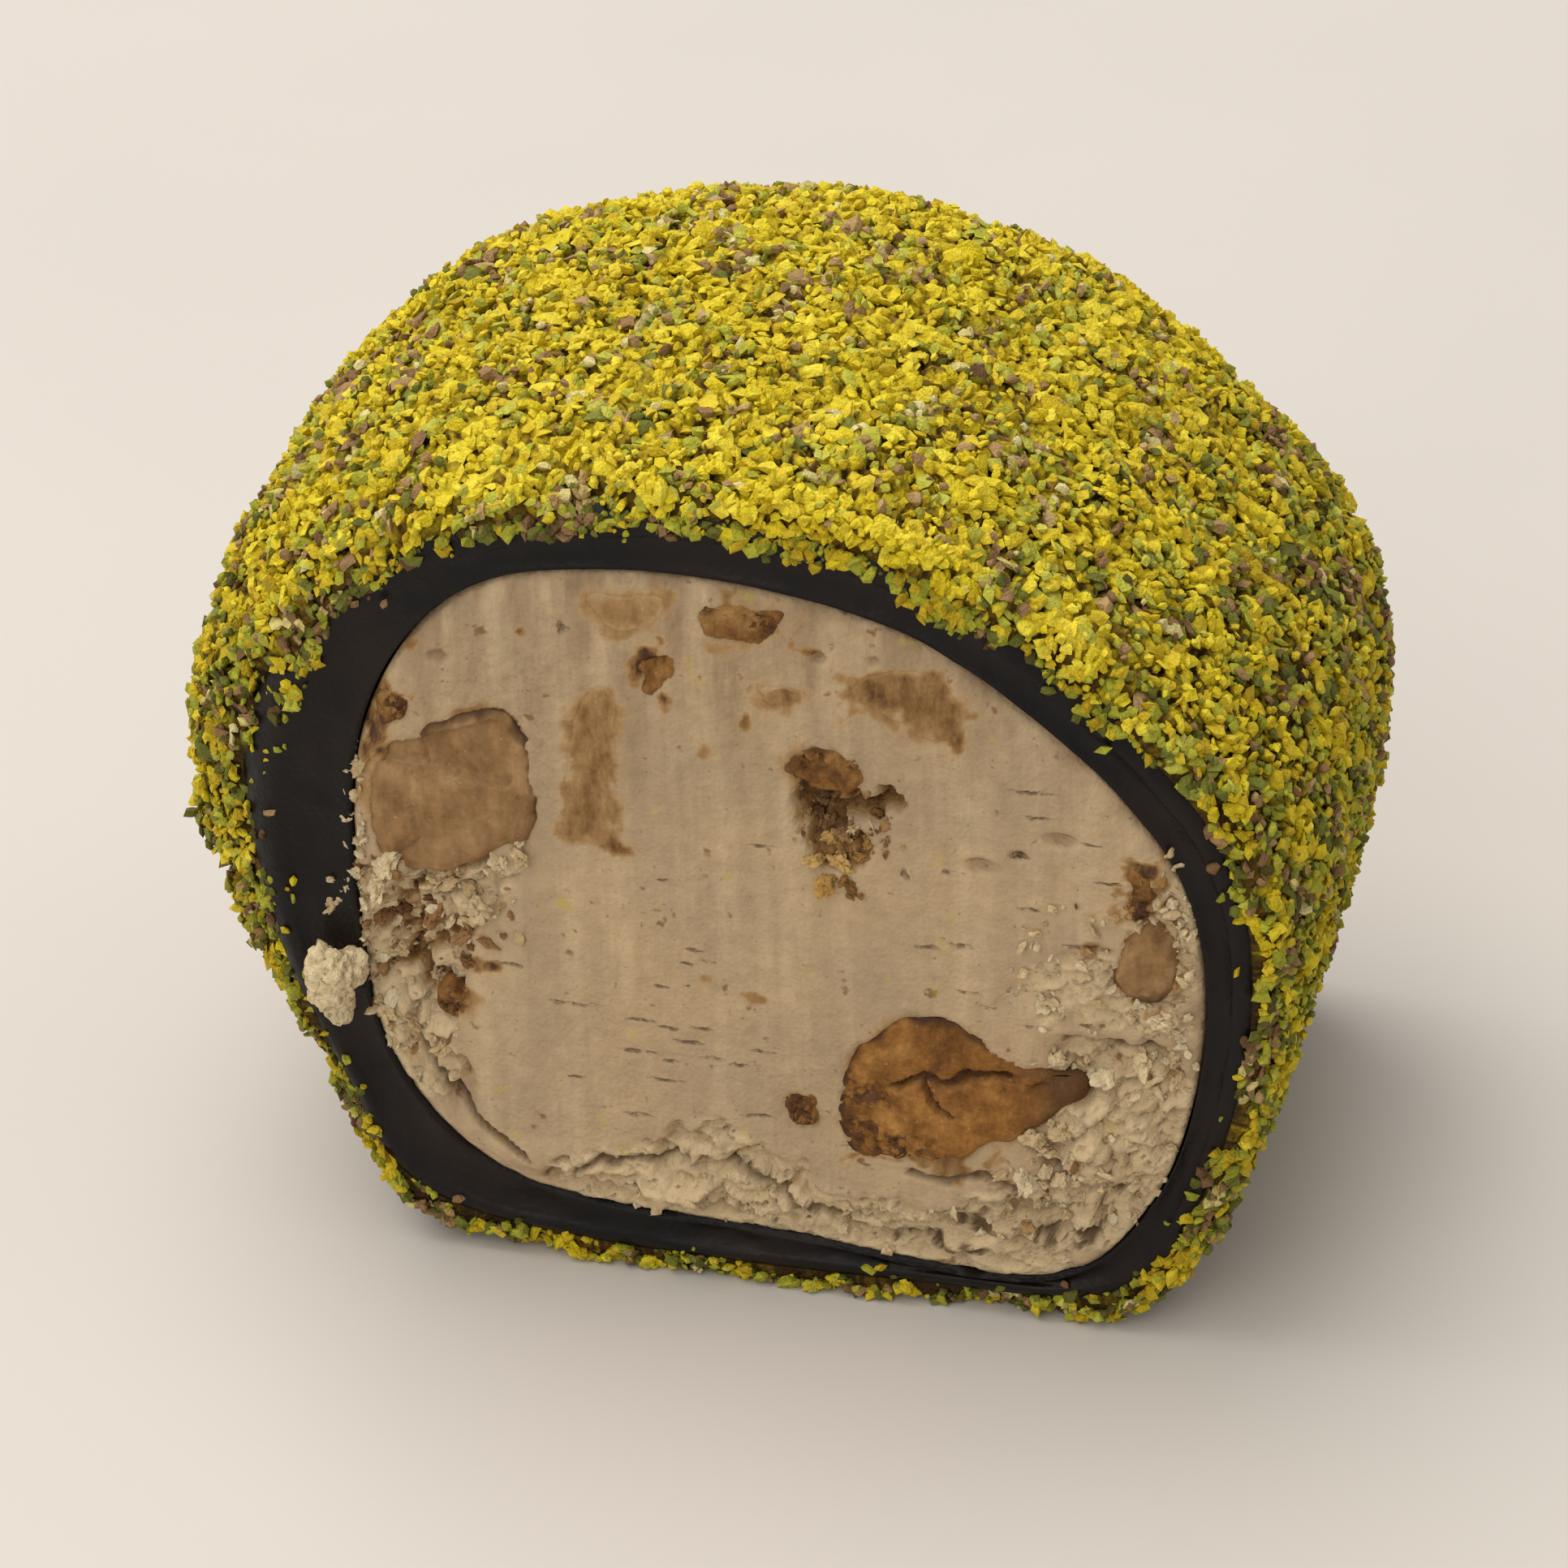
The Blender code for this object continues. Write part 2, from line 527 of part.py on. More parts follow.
def nut_body(name, outline, depth, end, sign, grow, material):
    """A nut cut by the knife: flat across the cut, rounded behind it.

    With grow above zero it is the pocket for that nut, wider all round and open in front.
    """
    width = max(p[0] for p in outline) - min(p[0] for p in outline)
    segments, layers = LARGE_NUT_MESH if width >= LARGE_NUT else SMALL_NUT_MESH
    rng = random.Random(name)
    loop = offset_loop(smooth_loop(outline, segments), [grow] * segments)
    middle = sum(loop, Vector((0.0, 0.0))) / segments
    mesh_edit = bmesh.new()
    front = end - sign * (NUT_PROUD if grow == 0.0 else POCKET_MOUTH)
    start = end + sign * grow if grow else front
    previous = add_ring(mesh_edit, loop, [front] * segments)
    if grow == 0.0:
        inner = [middle.lerp(p, NUT_INNER_RING) for p in loop]
        depths = [front + sign * rng.uniform(*NUT_ROUGHNESS) for _ in inner]
        inner_ring = add_ring(mesh_edit, inner, depths)
        bridge(mesh_edit, inner_ring, previous)
        mesh_edit.faces.new(inner_ring)
    else:
        mesh_edit.faces.new(previous)
        mouth = previous
        previous = add_ring(mesh_edit, loop, [start] * segments)
        bridge(mesh_edit, mouth, previous)
    reach = depth * MM + grow
    for layer in range(1, layers):
        share = layer / layers
        shrink = math.sqrt(1.0 - share ** 2)
        ring_loop = [middle.lerp(p, shrink) for p in loop]
        ring = add_ring(mesh_edit, ring_loop, [start + sign * reach * share] * segments)
        bridge(mesh_edit, previous, ring)
        previous = ring
    tip = mesh_edit.verts.new((middle.x, start + sign * reach, middle.y))
    for i in range(segments):
        mesh_edit.faces.new((previous[i], previous[(i + 1) % segments], tip))
    bmesh.ops.triangulate(mesh_edit, faces=mesh_edit.faces)
    return make_object(name, mesh_edit, material)


def ellipse(x, z, half_width, half_height, turn):
    """Outline of a back nut, as points in millimetres."""
    points = []
    tilt = math.radians(turn)
    for k in range(BACK_NUT_POINTS):
        angle = math.tau * k / BACK_NUT_POINTS
        uneven = 1.0 + BACK_NUT_UNEVEN * math.cos(3.0 * angle + x)
        across = half_width * uneven * math.cos(angle)
        up = half_height * uneven * math.sin(angle)
        points.append((x + across * math.cos(tilt) - up * math.sin(tilt),
                       z + across * math.sin(tilt) + up * math.cos(tilt)))
    return points


def counter_clockwise(points):
    area = 0.0
    for (x0, z0), (x1, z1) in zip(points, points[1:] + points[:1]):
        area += x0 * z1 - x1 * z0
    return points if area > 0.0 else points[::-1]


def build_nuts(material):
    """All nuts as their own solids; returns the pockets that they sit in."""
    pockets = []
    cuts = [(name, outline, depth, FRONT_Y, 1.0) for name, (outline, depth) in FRONT_NUTS.items()]
    for name, (x, z, half_width, half_height, turn, depth) in BACK_NUTS.items():
        cuts.append((name, ellipse(x, z, half_width, half_height, turn), depth, BACK_Y, -1.0))
    for name, outline, depth, end, sign in cuts:
        outline = counter_clockwise(outline)
        nut_body(name, outline, depth, end, sign, 0.0, material)
        pockets.append(nut_body(name + "_pocket", outline, depth, end, sign, GAP, None))
    return pockets


def main():
    clear_scene()
    pistachio = make_material("pistachio", (0.55, 0.52, 0.06), 0.75)
    lokum = make_material("lokum", (0.018, 0.013, 0.012), 0.35)
    cream = make_material("cream", (0.55, 0.42, 0.26), 0.7)
    nut = make_material("nut", (0.36, 0.19, 0.07), 0.55)
    pockets = build_nuts(nut)
    build_filling(cream, pockets)
    build_wrap(lokum)
    build_coat(pistachio)
    for piece in bpy.data.objects:
        piece.data.transform(Matrix.Translation(CENTRING))


main()
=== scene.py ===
# A cut slice of a lokum roll: dark wrap, crushed pistachio coat, pale filling with nuts.
import itertools
import math

import bpy
import numpy as np
from mathutils import Matrix, Vector


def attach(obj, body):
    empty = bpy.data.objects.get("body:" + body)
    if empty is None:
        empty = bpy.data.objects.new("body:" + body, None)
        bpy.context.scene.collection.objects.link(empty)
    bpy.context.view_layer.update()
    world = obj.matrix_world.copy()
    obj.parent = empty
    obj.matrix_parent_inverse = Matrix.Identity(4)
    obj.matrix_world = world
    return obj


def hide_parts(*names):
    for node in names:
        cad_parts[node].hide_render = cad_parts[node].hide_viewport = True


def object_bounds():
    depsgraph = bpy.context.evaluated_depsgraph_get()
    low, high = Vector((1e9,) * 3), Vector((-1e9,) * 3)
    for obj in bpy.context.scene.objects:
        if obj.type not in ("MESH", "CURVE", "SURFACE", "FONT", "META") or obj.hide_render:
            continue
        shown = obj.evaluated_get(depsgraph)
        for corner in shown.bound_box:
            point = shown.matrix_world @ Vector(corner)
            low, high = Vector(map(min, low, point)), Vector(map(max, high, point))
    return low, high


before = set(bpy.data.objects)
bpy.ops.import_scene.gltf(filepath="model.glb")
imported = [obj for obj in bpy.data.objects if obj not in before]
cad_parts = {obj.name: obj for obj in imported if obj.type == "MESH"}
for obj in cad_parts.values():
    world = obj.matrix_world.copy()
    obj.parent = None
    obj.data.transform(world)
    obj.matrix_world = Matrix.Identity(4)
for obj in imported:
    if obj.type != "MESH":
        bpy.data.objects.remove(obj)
cadLow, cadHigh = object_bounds()
bpy.ops.object.select_all(action="DESELECT")
print("frame:", len(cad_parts), "solids")

mm = 0.001
boxInset = 0.05               # how far the crumbs stay inside the solids' box, in millimetres
roll = {
    "front": -15.1,           # the two cut planes along Y, in millimetres
    "back": 16.9,
    "shift": 0.6,             # the outlines below lie this far left of the frame
    "middle": (1.6, 21.0),
    "floor": 1.1,             # underside of the wrap
    "bulge": 1.5,             # swelling past the rims
    "power": 3.5,
    "bulgeFrom": 11.0,
    "bulgeRise": 16.0,
    "shoulder": 3.1,          # further swelling on the left
    "shoulderAngle": 172,
    "wrap": [(25.3, 19.5), (23.7, 28.3), (17.3, 35.8), (9.3, 41.2), (0.3, 43.2), (-9.2, 42.2),
             (-17.0, 38.7), (-21.9, 31.2), (-23.3, 23.6), (-22.6, 16.4), (-20.0, 9.2), (-16.6, 3.2),
             (-8.0, 1.1), (9.0, 1.0), (19.0, 2.0), (23.4, 9.0)],
    "filling": [(23.0, 18.5), (21.5, 26.9), (15.8, 33.6), (8.3, 38.4), (-2.1, 40.2), (-12.0, 38.4),
                (-17.6, 30.8), (-18.6, 19.6), (-17.0, 10.2), (-10.6, 4.5), (2.8, 3.1), (15.2, 2.5),
                (20.9, 8.4)],
}
ringCount = 720


# shapes shared by several pieces
def evenLoop(dense, count):
    closed = np.vstack([dense, dense[:1]])
    steps = np.linalg.norm(np.diff(closed, axis=0), axis=1)
    run = np.concatenate([[0.0], np.cumsum(steps)])
    wanted = np.linspace(0, run[-1], count, endpoint=False)
    return np.column_stack([np.interp(wanted, run, closed[:, k]) for k in (0, 1)])


def smoothOutline(points, count):
    # a closed smooth curve through the points, cut into equal steps
    knots = np.array(points, float) + (roll["shift"], 0)
    part = np.linspace(0, 1, 24, endpoint=False)[:, None]
    before, start, end, after = (np.roll(knots, 1 - k, axis=0)[:, None] for k in range(4))
    dense = 0.5 * (2 * start + (end - before) * part
                   + (2 * before - 5 * start + 4 * end - after) * part ** 2
                   + (3 * start - 3 * end + after - before) * part ** 3)
    return evenLoop(dense.reshape(-1, 2), count)


def unit(vectors):
    return vectors / np.linalg.norm(vectors, axis=1, keepdims=True)


def outwardOf(loop):
    along = np.roll(loop, -1, axis=0) - np.roll(loop, 1, axis=0)
    return unit(np.column_stack([along[:, 1], -along[:, 0]]))


def smoothStep(low, high, value):
    part = np.clip((value - low) / (high - low), 0, 1)
    return part * part * (3 - 2 * part)


def flatOf(x, z, y=0):
    return np.column_stack([x, 0 * x + y, z])


def hashed(cell, seed):
    # a number from -1 to 1 for each cell of a whole-numbered lattice
    key = cell @ np.array([73856093, 19349663, 83492791]) + seed * 40503
    key = (key ^ key >> 15) * 2246822519 & 0xFFFFFFFF
    key = (key ^ key >> 13) * 3266489917 & 0xFFFFFFFF
    return ((key ^ key >> 16) & 0xFFFF) / 32767.5 - 1


def softNoise(points, size, seed=0):
    # smooth noise from -1 to 1, one value for each point
    place = np.asarray(points, float) / size
    cell = np.floor(place).astype(np.int64)
    part = place - cell
    part = part * part * (3 - 2 * part)
    total = np.zeros(len(place))
    for corner in range(8):
        step = np.array([corner & 1, corner >> 1 & 1, corner >> 2 & 1])
        total += hashed(cell + step, seed) * np.prod(np.where(step, part, 1 - part), axis=1)
    return total


def roughNoise(points, size, seed=0, layers=3):
    total = 0
    for layer in range(layers):
        total = total + softNoise(points, size / 2 ** layer, seed + layer) / 2 ** layer
    return total


def plates(points, sizes, seed):
    # broken flakes: each cell of a jittered lattice has its own level and slope
    # gives the level, how near a gap is, a tone and the distance to the middle of the flake
    place = points / np.array(sizes)
    cell = np.floor(place).astype(np.int64)
    nearest, second = np.full(len(place), 1e9), np.full(len(place), 1e9)
    level, tone = np.zeros(len(place)), np.zeros(len(place))
    for step in itertools.product((-1, 0, 1), repeat=3):
        here = cell + step
        jitter = np.column_stack([hashed(here, seed + axis) for axis in (1, 2, 3)])
        away = place - here - 0.5 - 0.42 * jitter
        distance = np.linalg.norm(away, axis=1)
        slope = (away * np.column_stack([hashed(here, seed + axis) for axis in (4, 5, 6)])).sum(axis=1)
        closer = distance < nearest
        second = np.where(closer, nearest, np.minimum(second, distance))
        level = np.where(closer, hashed(here, seed + 7) + 1.2 * slope, level)
        tone = np.where(closer, hashed(here, seed + 8), tone)
        nearest = np.where(closer, distance, nearest)
    return level, smoothStep(0.2, 0.0, second - nearest), tone, nearest


def segmentDistance(x, z, start, side):
    awayX, awayZ = x - start[0], z - start[1]
    part = np.clip((awayX * side[0] + awayZ * side[1]) / (side[0] ** 2 + side[1] ** 2), 0, 1)
    return np.hypot(awayX - side[0] * part, awayZ - side[1] * part)


def lineDistance(x, z, points):
    return np.minimum.reduce([segmentDistance(x, z, start, end - start)
                              for start, end in zip(points, points[1:])])


def insideDistance(x, z, loop):
    # distance to a closed loop, positive inside it
    nearest = np.full(len(x), np.inf)
    inside = np.zeros(len(x), bool)
    for start, end in zip(loop, np.roll(loop, -1, axis=0)):
        side = end - start
        nearest = np.minimum(nearest, segmentDistance(x, z, start, side))
        if side[1] != 0:
            crosses = (start[1] > z) != (end[1] > z)
            inside ^= crosses & (x < start[0] + side[0] * (z - start[1]) / side[1])
    return np.where(inside, nearest, -nearest)


ring = smoothOutline(roll["wrap"], ringCount)
ringOut = outwardOf(ring)


def swell(base, y):
    # how far the roll stands out past its rims
    share = (y - roll["front"]) / (roll["back"] - roll["front"])
    along = 1 - np.abs(2 * share - 1) ** roll["power"]
    away = base - roll["middle"]
    turn = np.arctan2(away[:, 1], away[:, 0]) - math.radians(roll["shoulderAngle"])
    lift = np.clip((base[:, 1] - roll["bulgeFrom"]) / roll["bulgeRise"], 0, 1)
    return along * lift * (roll["bulge"] + roll["shoulder"] * np.maximum(0, np.cos(turn)) ** 3)


def onRoll(around, y, height):
    # a place on the wrap from its share of the way round, its Y and its height over the wrap
    place = (around % 1) * ringCount
    low = np.floor(place).astype(int) % ringCount
    part = (place - np.floor(place))[:, None]
    high = (low + 1) % ringCount
    base = ring[low] * (1 - part) + ring[high] * part
    out = ringOut[low] * (1 - part) + ringOut[high] * part
    flat = base + out * (swell(base, y) + height)[:, None]
    return np.column_stack([flat[:, 0], y, flat[:, 1]])


def rollNormal(around, y):
    step, stepY = 0.002, 0.3
    alongRing = onRoll(around + step, y, 0 * y) - onRoll(around - step, y, 0 * y)
    alongRoll = onRoll(around, y + stepY, 0 * y) - onRoll(around, y - stepY, 0 * y)
    return unit(np.cross(alongRoll, alongRing))


def rimBase(around):
    # the place on the wrap's outline, as x and z
    return onRoll(around, 0 * around + roll["front"], 0 * around)[:, [0, 2]]


# pieces from primitives
def setPlaces(obj, points):
    obj.data.vertices.foreach_set("co", (np.asarray(points) * mm).astype(np.float32).ravel())
    obj.data.update()


def readVectors(mesh, kind="co"):
    flat = np.zeros(len(mesh.vertices) * 3)
    mesh.vertices.foreach_get(kind, flat)
    return flat.reshape(-1, 3)


def placesOf(obj):
    return readVectors(obj.data) / mm


def selectOnly(*objects):
    bpy.ops.object.select_all(action="DESELECT")
    for obj in objects:
        obj.select_set(True)
    bpy.context.view_layer.objects.active = objects[0]


def addGrid(name, columns, rows):
    # a grid, and which column and row each of its vertices belongs to
    bpy.ops.object.select_all(action="DESELECT")
    bpy.ops.mesh.primitive_grid_add(x_subdivisions=columns, y_subdivisions=rows, size=1)
    obj = bpy.context.object
    obj.name = name
    steps = np.rint((readVectors(obj.data)[:, :2] + 0.5) * (columns, rows)).astype(int)
    return obj, *steps.T


def rolledSheet(name, rows, ends=False):
    # a grid wrapped onto rings of points; with ends the last ring meets the first as well
    rowCount, pointCount = rows.shape[:2]
    obj, column, row = addGrid(name, pointCount, rowCount if ends else rowCount - 1)
    setPlaces(obj, rows[row % rowCount, column % pointCount])
    weld(obj)
    return obj


def weld(obj):
    selectOnly(obj)
    bpy.ops.object.mode_set(mode="EDIT")
    bpy.ops.mesh.select_all(action="SELECT")
    bpy.ops.mesh.remove_doubles(threshold=0.002 * mm)
    bpy.ops.mesh.normals_make_consistent(inside=False)
    bpy.ops.object.mode_set(mode="OBJECT")


def capPlaces(column, row, count, outline):
    # a square grid spread over a closed outline: x, z and the share of the way to the edge
    a, b = 2 * column / count - 1, 2 * row / count - 1
    across, up = a * np.sqrt(1 - b * b / 2), b * np.sqrt(1 - a * a / 2)
    middle = outline.mean(axis=0)
    away = outline - middle
    angles = np.arctan2(away[:, 1], away[:, 0])
    order = np.argsort(angles)
    lengths = np.hypot(*away.T)[order]
    reach = np.interp(np.arctan2(up, across), angles[order], lengths, period=2 * math.pi)
    return middle[0] + across * reach, middle[1] + up * reach, np.hypot(across, up)


def closedBody(name, outline, count, frontShape, backShape, sideRows=0):
    # two caps over one outline, joined at their edges or by a side
    parts, edges = [], []
    for shape in (frontShape, backShape):
        obj, column, row = addGrid(name, count, count)
        x, z, share = capPlaces(column, row, count, outline)
        places = np.column_stack([x, shape(x, z, share), z])
        setPlaces(obj, places)
        parts.append(obj)
        low, high = np.minimum(column, row), np.maximum(column, row)
        rim = np.flatnonzero((low == 0) | (high == count))
        middleX, middleZ = outline.mean(axis=0)
        rim = rim[np.argsort(np.arctan2(z[rim] - middleZ, x[rim] - middleX))]
        edges.append(places[rim])
    if sideRows:
        rows = [edges[0] * (1 - t) + edges[1] * t for t in np.linspace(0, 1, sideRows)]
        parts.append(rolledSheet(name, np.array(rows)))
    selectOnly(*parts)
    bpy.ops.object.join()
    weld(parts[0])
    return parts[0]


def setMarks(obj, red, green, blue):
    # what the material reads at each point of the surface
    marks = np.column_stack([red, green, blue, np.ones(len(red))]).clip(0, 1)
    layer = obj.data.attributes.new("marks", "FLOAT_COLOR", "POINT")
    layer.data.foreach_set("color", marks.astype(np.float32).ravel())


def setTones(mesh, tones):
    layer = mesh.attributes.new("tone", "FLOAT", "POINT")
    layer.data.foreach_set("value", np.asarray(tones).astype(np.float32))


def finishPiece(obj, material, slot, *nodes):
    obj.data.materials.clear()
    obj.data.materials.append(material)
    obj.data.polygons.foreach_set("use_smooth", [True] * len(obj.data.polygons))
    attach(obj, "root")
    if nodes:
        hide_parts(*nodes)
    triangles = sum(len(p.vertices) - 2 for p in obj.data.polygons)
    print("piece:", obj.name, triangles, "triangles")


# materials
def startMaterial(name):
    material = bpy.data.materials.new(name)
    material.use_nodes = True
    tree = material.node_tree
    return material, tree, tree.nodes["Principled BSDF"]


def feed(tree, socket, value):
    # joins another node's socket or sets a plain value
    if isinstance(value, bpy.types.NodeSocket):
        tree.links.new(value, socket)
    else:
        socket.default_value = value


def addNode(tree, kind, values, sources=(), **links):
    # values sets inputs and properties, sources and links join inputs by order and by name
    node = tree.nodes.new(kind)
    for key, value in values.items():
        if isinstance(key, int) or key in node.inputs:
            node.inputs[key].default_value = value
        else:
            setattr(node, key, value)
    for key, socket in [*enumerate(sources), *links.items()]:
        tree.links.new(socket, node.inputs[key])
    return node


def addRamp(tree, source, stops):
    node = addNode(tree, "ShaderNodeValToRGB", {}, Fac=source)
    while len(node.color_ramp.elements) < len(stops):
        node.color_ramp.elements.new(0.5)
    for element, (place, colour) in zip(node.color_ramp.elements, stops):
        element.position = place
        element.color = (*colour, 1)
    return node.outputs["Color"]


def addFade(tree, source, start, end, low=0.0, high=1.0):
    # a grey that goes from low to high
    return addRamp(tree, source, [(start, (low,) * 3), (end, (high,) * 3)])


def mixColours(tree, mask, first, second, blend="MIX"):
    node = addNode(tree, "ShaderNodeMix", {"data_type": "RGBA", "blend_type": blend})
    for key, value in (("Factor", mask), ("A", first), ("B", second)):
        feed(tree, node.inputs[key], (*value, 1) if isinstance(value, tuple) else value)
    return node.outputs["Result"]


def mathNode(tree, operation, first, second=0.0, third=0.0):
    node = addNode(tree, "ShaderNodeMath", {"operation": operation})
    for index, value in enumerate((first, second, third)):
        feed(tree, node.inputs[index], value)
    return node.outputs[0]


def placeOn(tree, stretch=(1, 1, 1)):
    where = tree.nodes.new("ShaderNodeTexCoord").outputs["Object"]
    if stretch == (1, 1, 1):
        return where
    return addNode(tree, "ShaderNodeMapping", {"Scale": stretch}, Vector=where).outputs["Vector"]


def noiseOn(tree, where, size, detail=3.0, roughness=0.55):
    # size is the spacing of the pattern in millimetres
    values = {"Scale": 1 / (size * mm), "Detail": detail, "Roughness": roughness}
    return addNode(tree, "ShaderNodeTexNoise", values, Vector=where).outputs["Fac"]


def readMarks(tree):
    marks = addNode(tree, "ShaderNodeAttribute", {"attribute_name": "marks"})
    return addNode(tree, "ShaderNodeSeparateColor", {}, Color=marks.outputs["Color"]).outputs


def glossOn(tree, where, size, detail, middle, change=0.3):
    # roughness that varies around its middle value
    return mathNode(tree, "MULTIPLY_ADD", noiseOn(tree, where, size, detail), change, middle - change / 2)


def paint(tree, shader, colour, roughness, specular, soft=None):
    tree.links.new(colour, shader.inputs["Base Color"])
    feed(tree, shader.inputs["Roughness"], roughness)
    shader.inputs["Specular IOR Level"].default_value = specular
    if soft is not None:          # how much light goes into the food
        shader.inputs["Subsurface Weight"].default_value = soft
        shader.inputs["Subsurface Radius"].default_value = (0.9 * mm, 0.6 * mm, 0.35 * mm)
        shader.inputs["Subsurface Scale"].default_value = 1.0


def startGroup(name, inputs, output):
    group = bpy.data.node_groups.new(name, "ShaderNodeTree")
    for key, kind in inputs:
        group.interface.new_socket(key, in_out="INPUT", socket_type="NodeSocket" + kind)
    group.interface.new_socket(output, in_out="OUTPUT", socket_type="NodeSocketFloat")
    inside, outside = group.nodes.new("NodeGroupInput"), group.nodes.new("NodeGroupOutput")
    return group, inside.outputs, outside.inputs[output]


def makeGrainGroup():
    # fine uneven relief for cut and crumbly food: coarse swells and small pits
    group, given, height = startGroup("crumblyGrain", (("Coarse", "Float"), ("Fine", "Float"),
                                                       ("Pits", "Float")), "Height")
    where = placeOn(group)
    swells = addNode(group, "ShaderNodeTexNoise", {"Detail": 4.0, "Roughness": 0.6},
                     Vector=where, Scale=given["Coarse"])
    pits = addNode(group, "ShaderNodeTexVoronoi", {}, Vector=where, Scale=given["Fine"])
    bowl = mathNode(group, "MULTIPLY", pits.outputs["Distance"], given["Pits"])
    group.links.new(mathNode(group, "ADD", swells.outputs["Fac"], bowl), height)
    return group


def makeSlitGroup():
    # a pointed oval mark, joined to the marks before it
    group, given, mask = startGroup("slitMark", (("Place", "Vector"), ("Centre", "Vector"),
                                                 ("Reach", "Vector"), ("Before", "Float")), "Mask")
    away = addNode(group, "ShaderNodeVectorMath", {"operation": "SUBTRACT"},
                   (given["Place"], given["Centre"])).outputs["Vector"]
    scaled = addNode(group, "ShaderNodeVectorMath", {"operation": "MULTIPLY"},
                     (away, given["Reach"])).outputs["Vector"]
    length = addNode(group, "ShaderNodeVectorMath", {"operation": "LENGTH"}, (scaled,)).outputs["Value"]
    fall = mathNode(group, "SUBTRACT", 1.0, length)
    group.links.new(mathNode(group, "MAXIMUM", fall, given["Before"]), mask)
    return group


grainGroup = makeGrainGroup()
slitGroup = makeSlitGroup()


def addGrain(tree, shader, coarse, fine, pits, strength, depth):
    grain = addNode(tree, "ShaderNodeGroup", {"node_tree": grainGroup})
    for key, value in (("Coarse", 1 / (coarse * mm)), ("Fine", 1 / (fine * mm)), ("Pits", pits)):
        grain.inputs[key].default_value = value
    bump = addNode(tree, "ShaderNodeBump", {"Strength": strength, "Distance": depth * mm},
                   Height=grain.outputs["Height"])
    tree.links.new(bump.outputs["Normal"], shader.inputs["Normal"])
    return bump


# the wrap of dark lokum
wrap = {
    "around": 400,
    "stations": 23,
    "cutRings": 12,           # rings over each cut face
    "rimRings": 5,            # rings over each rounded rim
    "rimRound": 1.0,
    "sag": 0.25,              # how far the cut jelly sinks between its edges
    "waves": ((0.14, 3.2, 3), (0.10, 1.1, 8)),   # height, size and seed
    "under": 2.0,             # how far the inner edge goes in under the filling
    "dark": (0.0034, 0.0024, 0.0022),
    "warm": (0.0115, 0.0065, 0.0042),
    "roughness": (0.34, 0.6),
}
fillingLoop = smoothOutline(roll["filling"], wrap["around"])


def wave(x, z, size, seed):
    return softNoise(flatOf(x, z, seed * 7.3), size, seed)


def buildWrap():
    outline = smoothOutline(roll["wrap"], wrap["around"])
    share = np.linspace(0, 1, wrap["around"], endpoint=False)
    # bring the start of the inner loop level with the outer one
    offsets = [np.abs(np.roll(fillingLoop, k, axis=0) - outline).sum() for k in range(wrap["around"])]
    inner = np.roll(fillingLoop, int(np.argmin(offsets)), axis=0)
    rows = []

    def addRow(points, y):
        rows.append(np.column_stack([points[:, 0], y, np.maximum(points[:, 1], roll["floor"])]))

    rounding = wrap["rimRound"]
    (broad, broadSize, broadSeed), (fine, fineSize, fineSeed) = wrap["waves"]
    for end, sign in ((roll["front"], 1), (roll["back"], -1)):
        rim, face = [], []
        for turn in np.linspace(0, math.pi / 2, wrap["rimRings"]):
            y = end + sign * rounding * (1 - math.cos(turn)) + 0 * share
            shrink = -rounding * (1 - math.sin(turn))
            rim.append((onRoll(share, y, shrink + 0 * share)[:, [0, 2]], y))
        edge = rim[0][0]
        for step in np.linspace(1, 0, wrap["cutRings"], endpoint=False)[::-1]:
            points = edge * (1 - step) + inner * step
            between = math.sin(math.pi * step)
            dip = wrap["sag"] * between + broad * wave(*points.T, broadSize, broadSeed)
            dip += fine * wave(*points.T, fineSize, fineSeed) * between
            face.append((points, end + sign * np.abs(dip + 0.05)))
        under = (inner, end + sign * (wrap["under"] + 0 * share))
        for points, y in [*rim[::-1], *face, under][::-sign]:
            addRow(points, y)
        if sign > 0:
            for y in np.linspace(end + rounding, roll["back"] - rounding, wrap["stations"])[1:-1]:
                addRow(onRoll(share, y + 0 * share, 0 * share)[:, [0, 2]], y + 0 * share)
    obj = rolledSheet("wrapSkin", np.array(rows), ends=True)
    material, tree, shader = startMaterial("darkLokum")
    where = placeOn(tree)
    patches = addFade(tree, noiseOn(tree, where, 9.0), 0.42, 0.62)
    colour = mixColours(tree, patches, wrap["dark"], wrap["warm"])
    smears = noiseOn(tree, placeOn(tree, (1, 1, 0.35)), 1.4, 4.0)
    low, high = wrap["roughness"]
    paint(tree, shader, colour, mathNode(tree, "MULTIPLY_ADD", smears, high - low, low), 0.22)
    addGrain(tree, shader, 0.9, 0.35, 0.35, 0.5, 0.16)
    finishPiece(obj, material, "lokum", "wrap")


buildWrap()


